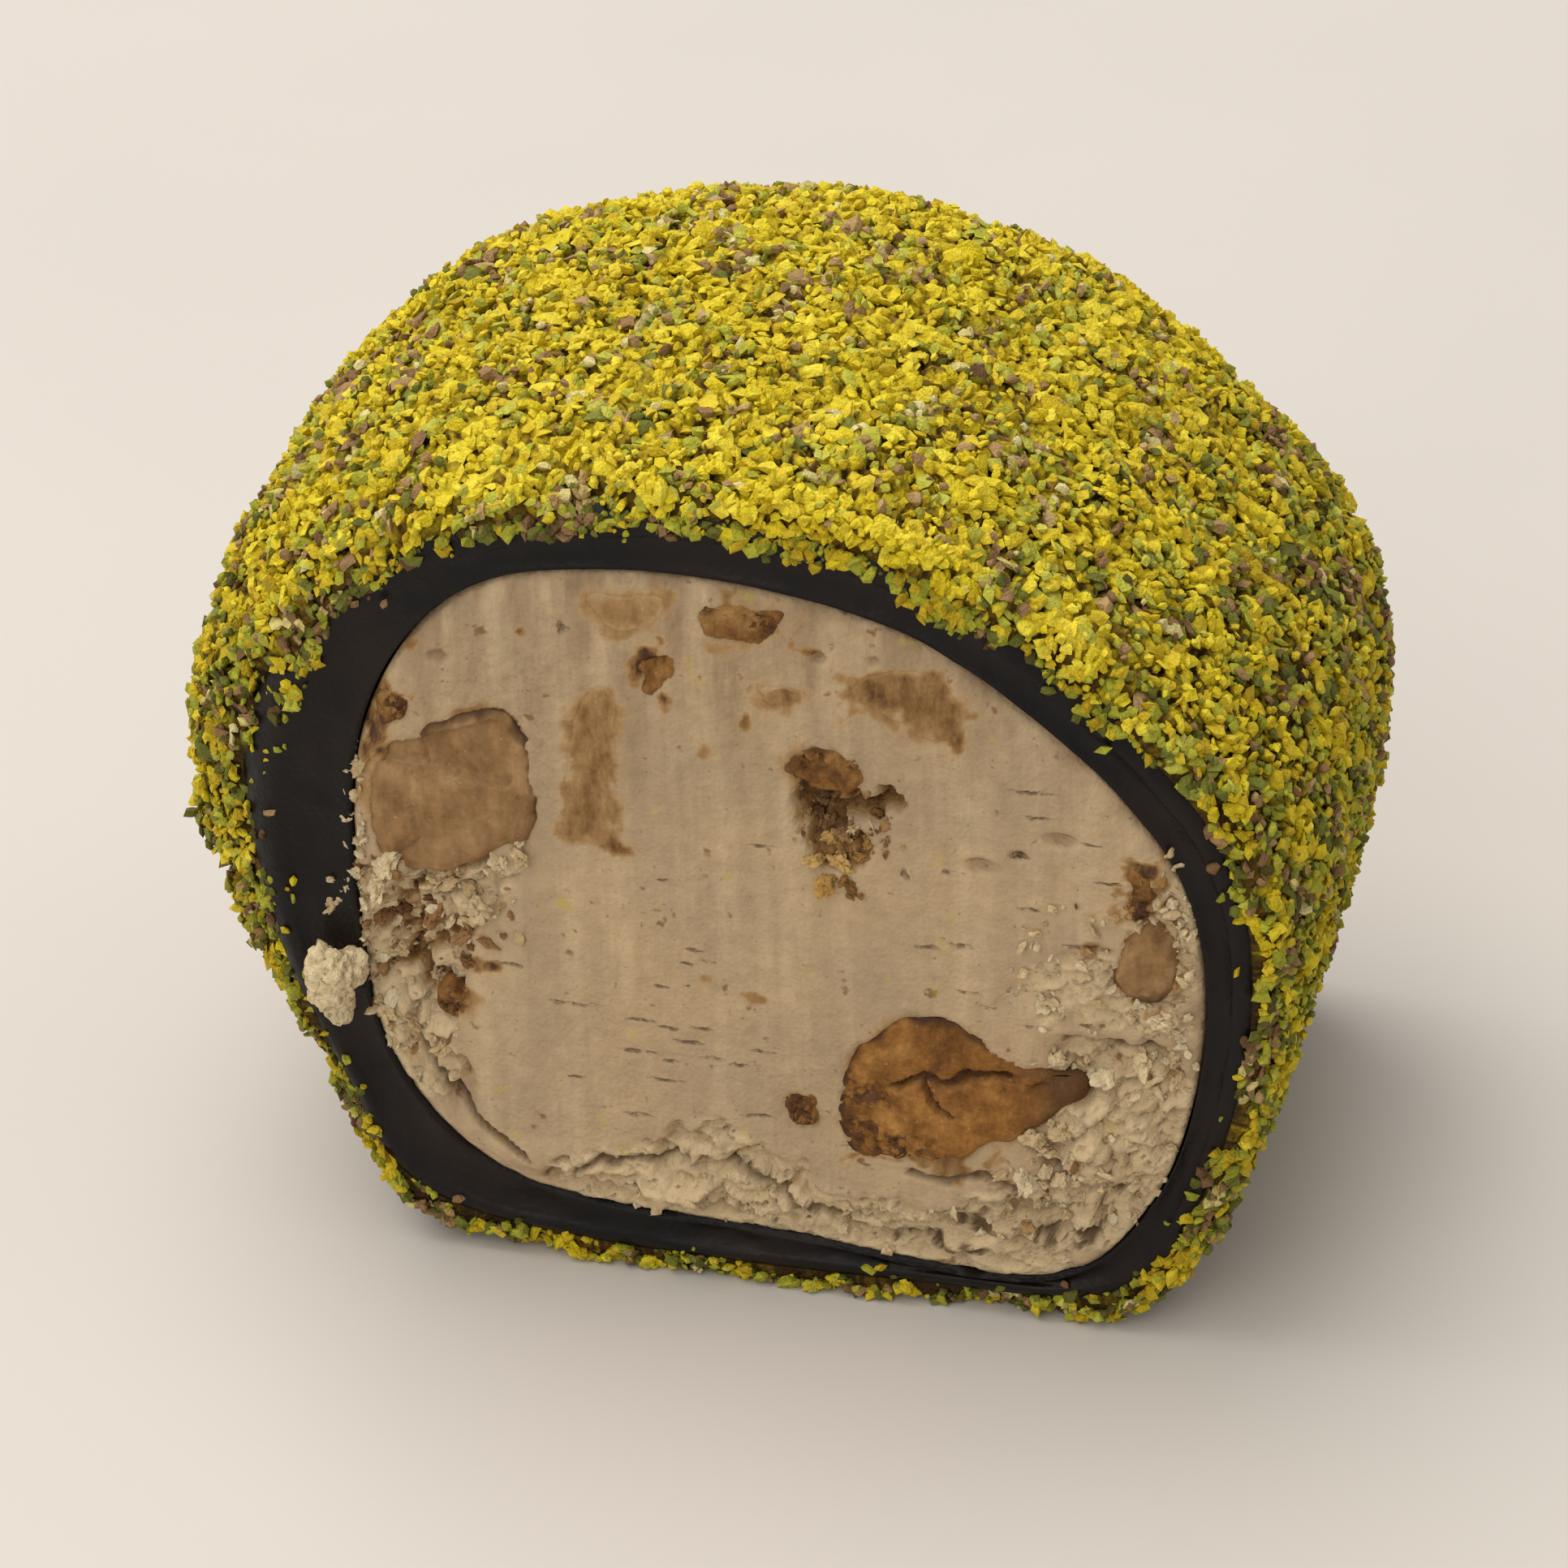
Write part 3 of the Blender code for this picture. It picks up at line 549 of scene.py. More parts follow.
# the pale filling and its cut faces
filling = {
    "count": 200,             # steps across each cut
    "edge": 0.12,             # how far the filling stays inside the wrap's ring
    # x, z, half width, half height and depth of the hollows and the raised ledges
    "hollows": [(-15.6, 17.6, 3.0, 4.2, 1.3), (11.2, 4.9, 1.7, 1.1, 1.0),
                (-14.0, 9.6, 1.2, 2.4, 0.8), (17.4, 16.0, 3.0, 1.6, 0.7), (16.0, 28.1, 1.0, 0.45, 0.6),
                (12.3, 26.1, 1.2, 0.5, 0.55), (14.0, 27.0, 0.6, 0.35, 0.4), (7.2, 36.6, 0.4, 0.3, 0.5),
                (4.6, 36.5, 0.5, 0.35, 0.5), (-13.8, 34.3, 0.7, 0.4, 0.5)],
    "ledges": [(-0.5, 5.6, 9.0, 1.5, 0.7), (18.3, 11.0, 3.2, 3.4, 0.8), (-9.0, 6.4, 4.0, 1.3, 0.4)],
    "backHollows": [(13.0, 29.0, 2.6, 2.0, 1.4), (-8.0, 12.0, 3.4, 1.9, 1.1), (9.0, 8.5, 2.2, 1.5, 0.9)],
    "backLedges": [(3.0, 5.4, 8.0, 1.5, 0.6), (-14.6, 21.0, 2.6, 4.4, 0.7)],
    "wave": 0.28,             # height of the broad waves in the cuts
    "well": 1.1,              # how deep the filling is cut out under each nut
    "inset": 0.08,            # how far both cuts stay inside the solids' box
    "cream": (0.50, 0.355, 0.200),
    "grey": (0.43, 0.315, 0.190),
    "pale": (0.66, 0.505, 0.300),
    "toast": (0.21, 0.105, 0.032),
    "shade": (0.10, 0.052, 0.022),
    "dragged": (0.29, 0.195, 0.105),
    # painted shade in the knife's slits
    "slit": (0.20, 0.115, 0.055),
    "tint": (0.50, 0.40, 0.06),
    # toasted smears; the darkest stops also carry the painted shade of the deep places
    "toastAndShadeStops": [(0.35, (0.39, 0.235, 0.095)), (0.75, (0.215, 0.108, 0.032)),
                     (1.0, (0.07, 0.03, 0.012))],
    # pores, nut dust and yellow specks: size, detail, roughness, where they start and end, strength; the
    # pores' darkness is painted shade
    "specks": ((1.1, 2.5, 0.6, 0.665, 0.73, 0.85, "toast"), (0.4, 1.5, 0.55, 0.70, 0.78, 0.5, "shade"),
               (1.6, 1.0, 0.55, 0.72, 0.80, 0.5, "tint")),
    "upper": (24, 38),        # the blade dragged this part: from and to this height
    "slitWarp": (1.1, 0, 0.42),   # how far the slits are bent out of line
}
# the outline of each nut at the front cut, and how deep it goes
frontNuts = {
    "nut_left": ([(-17.6, 23.4), (-17.3, 28.6), (-14.7, 30.3), (-11.0, 31.6), (-9.6, 29.4), (-9.4, 25.2),
                  (-12.2, 23.5), (-15.6, 22.2)], 7.0),
    "nut_right": ([(5.2, 11.4), (5.9, 14.6), (7.7, 16.9), (10.2, 17.2), (13.0, 15.6), (17.5, 14.5),
                   (15.5, 12.1), (12.4, 9.9), (8.7, 8.7), (5.9, 9.0)], 7.5),
    "nut_streak": ([(-8.1, 25.2), (-7.7, 30.0), (-6.8, 33.4), (-5.1, 33.6), (-5.1, 29.2),
                    (-5.5, 25.0)], 4.0),
    "nut_centre": ([(2.9, 30.4), (4.3, 31.7), (6.3, 31.3), (6.6, 29.6), (4.8, 28.9)], 3.4),
    "nut_upper": ([(5.4, 34.7), (8.8, 36.4), (10.8, 35.5), (11.2, 33.5), (9.8, 32.6),
                   (7.6, 33.6)], 3.0),
    "nut_top": ([(-0.9, 38.6), (2.9, 38.9), (2.7, 37.5), (0.8, 36.6), (-0.8, 37.2)], 3.2),
    "nut_top_left": ([(-6.4, 38.8), (-2.6, 38.9), (-3.2, 37.5), (-4.7, 36.9), (-5.8, 37.6)], 3.0),
    "nut_edge": ([(18.6, 21.9), (19.9, 23.7), (21.2, 23.6), (21.6, 21.6), (20.8, 19.6),
                  (18.8, 19.8)], 4.2),
    "nut_edge_small": ([(19.2, 27.0), (20.3, 26.4), (20.4, 25.1), (19.2, 25.3)], 2.4),
    "nut_bit_upper": ([(-3.7, 35.8), (-2.2, 36.3), (-2.0, 34.9), (-3.3, 33.6), (-4.0, 34.2)], 2.2),
    "nut_bit_middle": ([(1.8, 34.9), (4.1, 34.8), (3.6, 33.8), (2.0, 33.8)], 2.0),
    "nut_bit_low": ([(2.6, 11.8), (4.0, 11.7), (4.0, 10.2), (2.8, 10.1)], 2.2),
    "nut_bit_corner": ([(-16.9, 32.0), (-15.4, 32.1), (-15.6, 30.8), (-16.7, 30.3)], 2.0),
    "nut_bit_crumbly": ([(-14.6, 15.9), (-12.9, 15.5), (-13.3, 14.0), (-14.8, 14.4)], 2.2),
}
# x, z, half width, half height, turn and depth of each nut at the back cut
backNuts = {
    "nut_back_large": (9.5, 21.0, 5.4, 4.0, 25.0, 7.0),
    "nut_back_high": (-4.5, 33.0, 4.2, 3.2, -20.0, 6.0),
    "nut_back_low": (-2.0, 9.6, 3.4, 2.2, 10.0, 4.5),
    "nut_back_left": (-13.4, 27.0, 1.5, 2.3, 15.0, 3.6),
    "nut_back_right": (18.4, 14.0, 1.8, 1.4, -30.0, 3.2),
    "nut_back_bit_a": (2.6, 27.6, 1.2, 0.9, 0.0, 2.2),
    "nut_back_bit_b": (-7.6, 19.4, 1.0, 1.4, 40.0, 2.4),
    "nut_back_bit_c": (7.2, 35.0, 1.4, 0.9, -25.0, 2.2),
}


def ellipseOutline(x, z, halfWidth, halfHeight, turn):
    angle = np.linspace(0, 2 * math.pi, 8, endpoint=False)
    uneven = 1 + 0.08 * np.cos(3 * angle + x)
    across, up = halfWidth * uneven * np.cos(angle), halfHeight * uneven * np.sin(angle)
    tilt = math.radians(turn)
    return np.column_stack([x + across * math.cos(tilt) - up * math.sin(tilt),
                            z + across * math.sin(tilt) + up * math.cos(tilt)])


def nutLoop(points, count=96):
    # the outline of a cut nut, a little chipped along its edge
    loop = smoothOutline(points, count)
    x, z = loop[:, 0], loop[:, 1]
    area = (x * np.roll(z, -1) - np.roll(x, -1) * z).sum()
    loop = loop if area > 0 else loop[::-1]
    chips = roughNoise(flatOf(*loop.T, 3), 1.5, 27, 3)
    width = min(1.0, np.ptp(loop[:, 0]) / 6)
    return loop + outwardOf(loop) * (0.26 * width * chips)[:, None]


frontLoops = {name: nutLoop(points) for name, (points, _) in frontNuts.items()}
backLoops = {name: nutLoop(ellipseOutline(*values[:5])) for name, values in backNuts.items()}


def fromSpot(x, z, spot):
    # distance from the middle of an oval, 1 at its edge
    return np.hypot((x - roll["shift"] - spot[0]) / spot[2], (z - spot[1]) / spot[3])


def spots(x, z, values):
    total = np.zeros(len(x))
    for spot in values:
        total += spot[4] * np.clip(1 - fromSpot(x, z, spot) ** 2, 0, 1) ** 1.5
    return total


# nuts smeared flush with the cut, and how brown they are
softNuts = {"nut_streak": 0.62, "nut_upper": 0.72, "nut_top_left": 0.5, "nut_bit_middle": 0.6}
# torn strips and crumbly places on the front: closed outlines
tornZones = [
    [(-19.4, 14.0), (-19.6, 22.0), (-16.5, 23.2), (-12.6, 23.6), (-9.6, 23.2), (-11.6, 20.6),
     (-13.6, 17.4), (-14.2, 13.0), (-13.4, 10.0), (-15.6, 9.0), (-17.2, 11.0)],
    [(-10.4, 5.6), (-6.6, 7.2), (-4.2, 8.6), (-0.4, 9.0), (2.6, 7.6), (6.0, 6.4), (9.5, 5.6), (13.0, 8.0),
     (16.0, 6.4), (17.0, 2.0), (0.0, 1.8), (-9.0, 3.4)],
    [(15.4, 15.6), (18.2, 17.2), (22.4, 17.0), (22.6, 9.0), (19.5, 5.0), (13.2, 4.6), (14.2, 8.4),
     (15.8, 11.4)],
    [(13.0, 18.4), (16.0, 17.6), (19.4, 18.0), (22.4, 17.4), (22.8, 25.0), (21.4, 28.2), (20.2, 25.0),
     (18.2, 22.4), (14.6, 20.8)],
]
# width and height of the flakes in each torn zone, a seed, and how rough it is
tornFlakes = (((1.9, 1.5), 31, 1.0), ((3.6, 1.0), 52, 1.0), ((2.4, 1.3), 73, 1.0), ((1.7, 0.7), 25, 0.5))
# the cavity under the middle nut, open to the right
cavity = [(3.5, 29.6), (3.2, 28.0), (3.7, 26.2), (4.6, 24.9), (6.4, 25.2), (6.9, 26.3), (5.9, 27.6),
          (7.5, 27.9), (8.9, 29.6), (8.0, 30.0), (7.0, 28.9), (6.2, 30.0), (4.6, 30.2)]
# cracks: points along each, half width, depth
cracks = [
    ([(-15.6, 12.0), (-14.6, 9.9), (-13.6, 8.6), (-12.0, 7.1), (-10.6, 6.3)], 0.12, 0.8),
    ([(-9.7, 5.2), (-6.6, 6.6), (-4.5, 6.9), (-0.4, 7.3), (1.6, 6.4), (3.5, 5.0), (5.5, 4.2),
      (9.5, 3.6)], 0.1, 0.5),
    ([(8.4, 8.2), (10.6, 7.6), (12.4, 8.4), (14.4, 7.6)], 0.1, 0.45),
    ([(14.4, 10.9), (15.6, 9.4), (17.2, 8.6), (18.9, 8.0)], 0.1, 0.6),
    ([(16.2, 16.9), (18.4, 16.4), (21.0, 16.6)], 0.1, 0.5),
]
# fine level slits and small dents that the knife left: x, z, half width, half height
slits = [
    (-8.0, 15.6, 1.39, 0.17), (-3.6, 17.2, 0.46, 0.14), (-2.2, 17.4, 0.26, 0.1),
    (-4.6, 15.1, 0.87, 0.14), (-3.2, 14.8, 0.69, 0.14), (-1.4, 15.0, 0.63, 0.14),
    (-4.8, 13.2, 1.15, 0.17), (-2.9, 12.8, 0.81, 0.14), (-1.2, 13.3, 0.92, 0.14),
    (0.4, 13.1, 0.69, 0.14), (1.4, 14.0, 0.63, 0.14), (-2.2, 14.1, 0.87, 0.14), (-3.2, 23.3, 0.4, 0.14),
    (-1.8, 19.5, 0.63, 0.1), (-2.2, 18.7, 0.52, 0.1), (-8.0, 11.2, 0.81, 0.1), (-3.4, 11.7, 0.98, 0.14),
    (1.2, 10.2, 0.81, 0.17), (1.8, 25.9, 0.75, 0.14), (-11.0, 17.4, 0.75, 0.14), (-5.0, 9.5, 0.87, 0.21),
    (-1.0, 9.4, 1.44, 0.24), (14.8, 30.6, 1.34, 0.15), (15.0, 29.2, 0.7, 0.12), (10.8, 25.6, 0.6, 0.14),
    (14.0, 26.9, 0.48, 0.23), (8.6, 25.2, 0.19, 0.46), (11.4, 21.5, 0.69, 0.23),
    (14.6, 24.1, 0.56, 0.13), (18.4, 26.1, 0.78, 0.1), (17.6, 28.1, 0.65, 0.1), (9.6, 21.3, 0.65, 0.15),
    (11.5, 19.0, 0.56, 0.15), (12.5, 18.2, 0.65, 0.15), (16.2, 19.6, 0.87, 0.13),
    (15.4, 20.6, 0.87, 0.13), (14.6, 17.4, 0.65, 0.15), (18.3, 8.3, 0.74, 0.21),
    (16.2, 10.2, 0.74, 0.21), (14.8, 7.0, 0.95, 0.18), (7.2, 3.3, 1.52, 0.13), (17.2, 17.9, 0.52, 0.13),
    (-7.6, 36.8, 0.3, 0.48), (17.3, 22.3, 1.4, 0.2),
]
# brown smears of nut that lie in the cut: x, z, half width, half height, strength
smears = [
    (16.0, 28.3, 0.7, 0.25, 0.7), (12.3, 26.3, 0.9, 0.25, 0.6), (-13.8, 34.4, 0.5, 0.3, 0.9),
    (-17.3, 29.3, 1.0, 1.7, 1.0), (-16.8, 32.3, 1.2, 0.9, 0.9), (-15.2, 34.6, 0.9, 0.5, 0.8),
    (-6.3, 29.4, 1.2, 4.4, 0.45), (-4.7, 38.2, 2.2, 1.0, 0.45), (0.8, 38.2, 2.2, 1.2, 0.7),
    (-3.4, 35.4, 0.9, 1.5, 1.0), (-2.9, 33.5, 0.6, 0.8, 0.8), (2.7, 34.5, 1.3, 0.5, 0.7),
    (8.4, 34.9, 3.2, 1.9, 0.6), (10.9, 32.8, 0.7, 1.2, 0.7), (4.3, 36.8, 0.5, 0.35, 1.0),
    (19.6, 25.2, 1.0, 1.5, 0.9), (19.9, 21.3, 1.5, 2.2, 0.6), (-12.4, 17.2, 0.9, 0.5, 0.8),
    (-14.0, 18.6, 1.0, 1.2, 0.6), (3.2, 11.0, 0.9, 1.0, 0.7), (7.2, 8.6, 2.2, 0.6, 0.7),
    (12.4, 9.0, 1.6, 0.6, 0.6), (-3.4, 21.5, 0.4, 0.3, 0.8), (-0.9, 31.0, 0.5, 0.6, 0.5),
    (-9.6, 36.2, 0.4, 0.35, 0.9), (1.0, 32.6, 0.35, 0.5, 0.6), (-5.6, 24.7, 1.1, 0.6, 0.8),
    (0.9, 17.2, 0.6, 0.4, 0.5), (-1.2, 17.9, 0.35, 0.3, 0.7), (7.0, 36.9, 0.35, 0.25, 0.9),
    (10.5, 8.6, 3.2, 0.9, 0.7), (17.3, 22.3, 2.0, 0.5, 0.4), (20.2, 26.6, 1.2, 1.6, 0.9),
]
# dark smears of lokum low on the right: x, z, half width, half height
soot = [(11.6, 4.4, 1.4, 1.3), (15.2, 5.2, 1.0, 0.7), (17.6, 5.6, 1.3, 0.8), (9.6, 3.6, 2.0, 0.5)]


def shifted(points):
    return np.array(points, float) + (roll["shift"], 0)


def nutsDistance(x, z, loops):
    nearest = np.full(len(x), -9.0)
    for loop in loops:
        middleX, middleZ = loop.mean(axis=0)
        close = np.hypot(x - middleX, z - middleZ) < np.ptp(loop, axis=0).max() * 0.8 + 1.5
        nearest[close] = np.maximum(nearest[close], insideDistance(x[close], z[close], loop))
    return nearest


def tornClods(x, z, torn, rim, sizes, seed):
    # torn cake: steps and flakes with gaps between them, calmer near the wrap
    deep, finer = 4.0, 0.42       # depth of a flake, and how much smaller the small ones are
    place = flatOf(x, z, seed)
    warp = 0.45 * flatOf(wave(x, z, 0.9, seed), wave(x, z, 0.9, seed + 9))
    ragged = 0.38 * flatOf(roughNoise(place, 0.9, 71, 3), roughNoise(place, 0.9, 73, 3))
    place = place + warp + ragged
    coarse, gap, _, _ = plates(place, (sizes[0], deep, sizes[1]), seed)
    fine, fineGap, _, _ = plates(place + 7, (sizes[0] * finer, deep, sizes[1] * finer), seed + 20)
    calm = 0.2 + 0.8 * smoothStep(0.1, 1.2, rim)
    return torn * calm * (0.30 + 0.46 * coarse + 0.17 * fine + 0.50 * gap + 0.14 * fineGap
                          + 0.05 * wave(x, z, 0.4, seed))


def rimDip(rim):
    # both cuts fall away a little toward the wrap
    return 0.30 * np.clip(1 - rim / 1.6, 0, 1) ** 2 + 0.2 * np.clip(1 - rim / 0.4, 0, 1)


def nutGap(flat, nuts):
    # an open ring round parts of the nuts
    return 0.32 * smoothStep(-0.25, 0.1, nuts) * smoothStep(-0.1, 0.5, softNoise(flat, 2.4, 77))


def zoneDistance(x, z, zone, raggedness, size, seed):
    # how far inside a zone with a ragged edge
    edge = evenLoop(shifted(zone), 60)
    return insideDistance(x, z, edge) + raggedness * roughNoise(flatOf(x, z), size, seed, 3)


def frontRelief(x, z):
    # how deep each place of the front cut lies, and the marks for its material
    flat = flatOf(x, z)
    rim = insideDistance(x, z, fillingLoop)
    torn, leftTorn, clods = np.zeros(len(x)), None, 0
    for zone, (sizes, seed, rough) in zip(tornZones, tornFlakes):
        here = smoothStep(-0.15, 0.3, zoneDistance(x, z, zone, 0.7, 1.6, 5))
        clods = clods + rough * tornClods(x, z, here, rim, sizes, seed)
        torn = np.maximum(torn, here)
        leftTorn = torn.copy() if leftTorn is None else leftTorn
    depth = spots(x, z, filling["hollows"]) - spots(x, z, filling["ledges"])
    depth -= filling["wave"] * wave(x, z, 6.0, 1)
    depth += rimDip(rim) + clods
    # the cavity, ragged at its edge and rough inside
    hollow = smoothStep(-0.15, 0.35, zoneDistance(x, z, cavity, 0.35, 0.9, 63))
    bits, gaps, _, _ = plates(flat + 0.2 * roughNoise(flat, 0.6, 8, 2)[:, None], (0.8, 4.0, 0.8), 90)
    inner = 1.35 + 0.5 * bits + 0.5 * gaps + 0.3 * roughNoise(flat, 0.8, 67, 3)
    depth += hollow * inner * (0.4 + 0.6 * smoothStep(25.5, 27.5, z))
    # lines that the blade drew down the smooth part
    smooth = 1 - torn
    drag = softNoise(flatOf(x, z * 0.05), 0.8, 12)
    drag += 0.8 * softNoise(flatOf(x, z * 0.04), 2.2, 13)
    upper = smoothStep(19, 29, z + 1.5 * wave(x, z, 4.0, 4))
    depth += smooth * drag * (0.03 + 0.06 * upper)
    ridge = np.exp(-((x + 2.0 + 0.01 * (z - 30)) / 0.3) ** 2) * smoothStep(25, 29, z)
    depth -= 0.16 * ridge
    depth += smooth * 0.06 * roughNoise(flat, 1.0, 17, 3)
    # the granular patch beside the left nut
    grainy = smoothStep(1.15, 0.75, np.hypot((x + 9.6) / 3.4, (z - 31.5) / 5.0))
    depth += smooth * (0.03 + 0.14 * grainy) * np.abs(roughNoise(flat, 0.55, 19, 2))
    slits = np.zeros(len(x))
    for points, width, deep in cracks:
        points = shifted(points)
        (lowX, lowZ), (highX, highZ) = points.min(axis=0) - 1, points.max(axis=0) + 1
        near = np.flatnonzero((x > lowX) & (x < highX) & (z > lowZ) & (z < highZ))
        wobble = 0.22 * roughNoise(flat[near], 0.8, 41, 2)
        away = lineDistance(x[near] + wobble, z[near] - wobble, points)
        cut = np.clip(1 - (away / (width + 0.14)) ** 2, 0, 1)
        depth[near] += deep * cut
        # the crack is painted dark as well: painted shade in it
        slits[near] = np.maximum(slits[near], cut)
    nuts = nutsDistance(x, z, frontLoops.values())
    hard = nutsDistance(x, z, [loop for name, loop in frontLoops.items() if name not in softNuts])
    depth += nutGap(flat, hard)
    depth += filling["well"] * smoothStep(0.25, 0.6, nuts)
    for spot in soot:
        patch = 0.9 - fromSpot(x, z, spot) + 1.1 * roughNoise(flat, 0.7, 45, 4)
        slits = np.maximum(slits, smoothStep(0.40, 0.75, patch))
    # the filling is drawn darker toward its edge at the wrap, more to the upper right
    darkerEdge = smoothStep(1.1, -0.2, rim + 0.5 * roughNoise(flat, 1.2, 47, 3))
    darkerEdge *= smoothStep(-4, 8, x + 0.6 * (z - 20))
    slits = np.maximum(slits, 0.45 * darkerEdge * (1 - 0.7 * torn))
    # painted shade: darker where the left torn zone lies deep, and all through the cavity
    depthShade = np.maximum(leftTorn * smoothStep(0.8, 2.2, depth), hollow * 0.85)
    return depth, rim, torn, slits, nuts, depthShade


def backRelief(x, z):
    away = 40                     # so that its noise differs from that of the front
    flat = flatOf(x, z, away)
    rim = insideDistance(x, z, fillingLoop)
    hollows, ledges = spots(x, z, filling["backHollows"]), spots(x, z, filling["backLedges"])
    depth = hollows - ledges
    depth -= filling["wave"] * wave(x, z, 6.0, -1)
    depth += rimDip(rim)
    torn = smoothStep(0.15, 0.5, hollows + ledges + 0.15 * softNoise(flat, 1.5, 5))
    depth += tornClods(x, z, torn, rim, (1.7, 1.1), 94)
    drag = softNoise(flatOf(x, z * 0.05, away), 0.8, 12)
    depth += (1 - torn) * (0.05 * drag + 0.06 * roughNoise(flat, 1.0, 17, 3))
    nuts = nutsDistance(x, z, backLoops.values())
    depth += nutGap(flat, nuts)
    depth += filling["well"] * smoothStep(0.25, 0.6, nuts)
    return depth, rim, torn, 0 * x, nuts, 0 * x


def brownness(x, z):
    # how toasted the front of the filling is: smears and the soft nuts in it
    clouds = 0.75 * roughNoise(flatOf(x, z), 0.9, 61, 4)
    brown = np.zeros(len(x))
    for smear in smears:
        away = fromSpot(x, z, smear)
        brown = np.maximum(brown, smear[4] * smoothStep(0.0, 0.9, 1.05 - away + clouds) * (away < 1.8))
    for name, strength in softNuts.items():
        inside = insideDistance(x, z, frontLoops[name])
        share = smoothStep(-0.5, 0.7, inside + 0.6 * clouds) * (inside > -1.5)
        brown = np.maximum(brown, strength * share)
    return brown


def buildFilling():
    outline = fillingLoop - outwardOf(fillingLoop) * filling["edge"]

    def frontShape(x, z, share):
        return np.maximum(roll["front"] + frontRelief(x, z)[0], cadLow[1] / mm + filling["inset"])

    def backShape(x, z, share):
        return np.minimum(roll["back"] - backRelief(x, z)[0], cadHigh[1] / mm - filling["inset"])

    obj = closedBody("fillingCake", outline, filling["count"], frontShape, backShape, sideRows=7)
    x, y, z = placesOf(obj).T
    front = y < 0
    torn, slitMarks, nuts, depthShade = np.where(front, frontRelief(x, z)[2:], backRelief(x, z)[2:])
    flat = np.column_stack([x, y, z])
    brown = np.where(front, brownness(x, z), 0)
    around = smoothStep(-0.7, 0.1, nuts + 0.45 * roughNoise(flat, 0.8, 3, 2))
    around *= smoothStep(-0.4, 0.6, softNoise(flat, 2.0, 33))
    # the red mark: smears, soft nuts and a brown ring round the nuts, with painted shade in the deep
    # places
    brown = np.maximum.reduce([brown, 0.5 * around, 0.85 * depthShade])
    setMarks(obj, brown, torn * (1 - 0.8 * depthShade), slitMarks)
    material = fillingMaterial()
    finishPiece(obj, material, "cream", "filling")
    return material


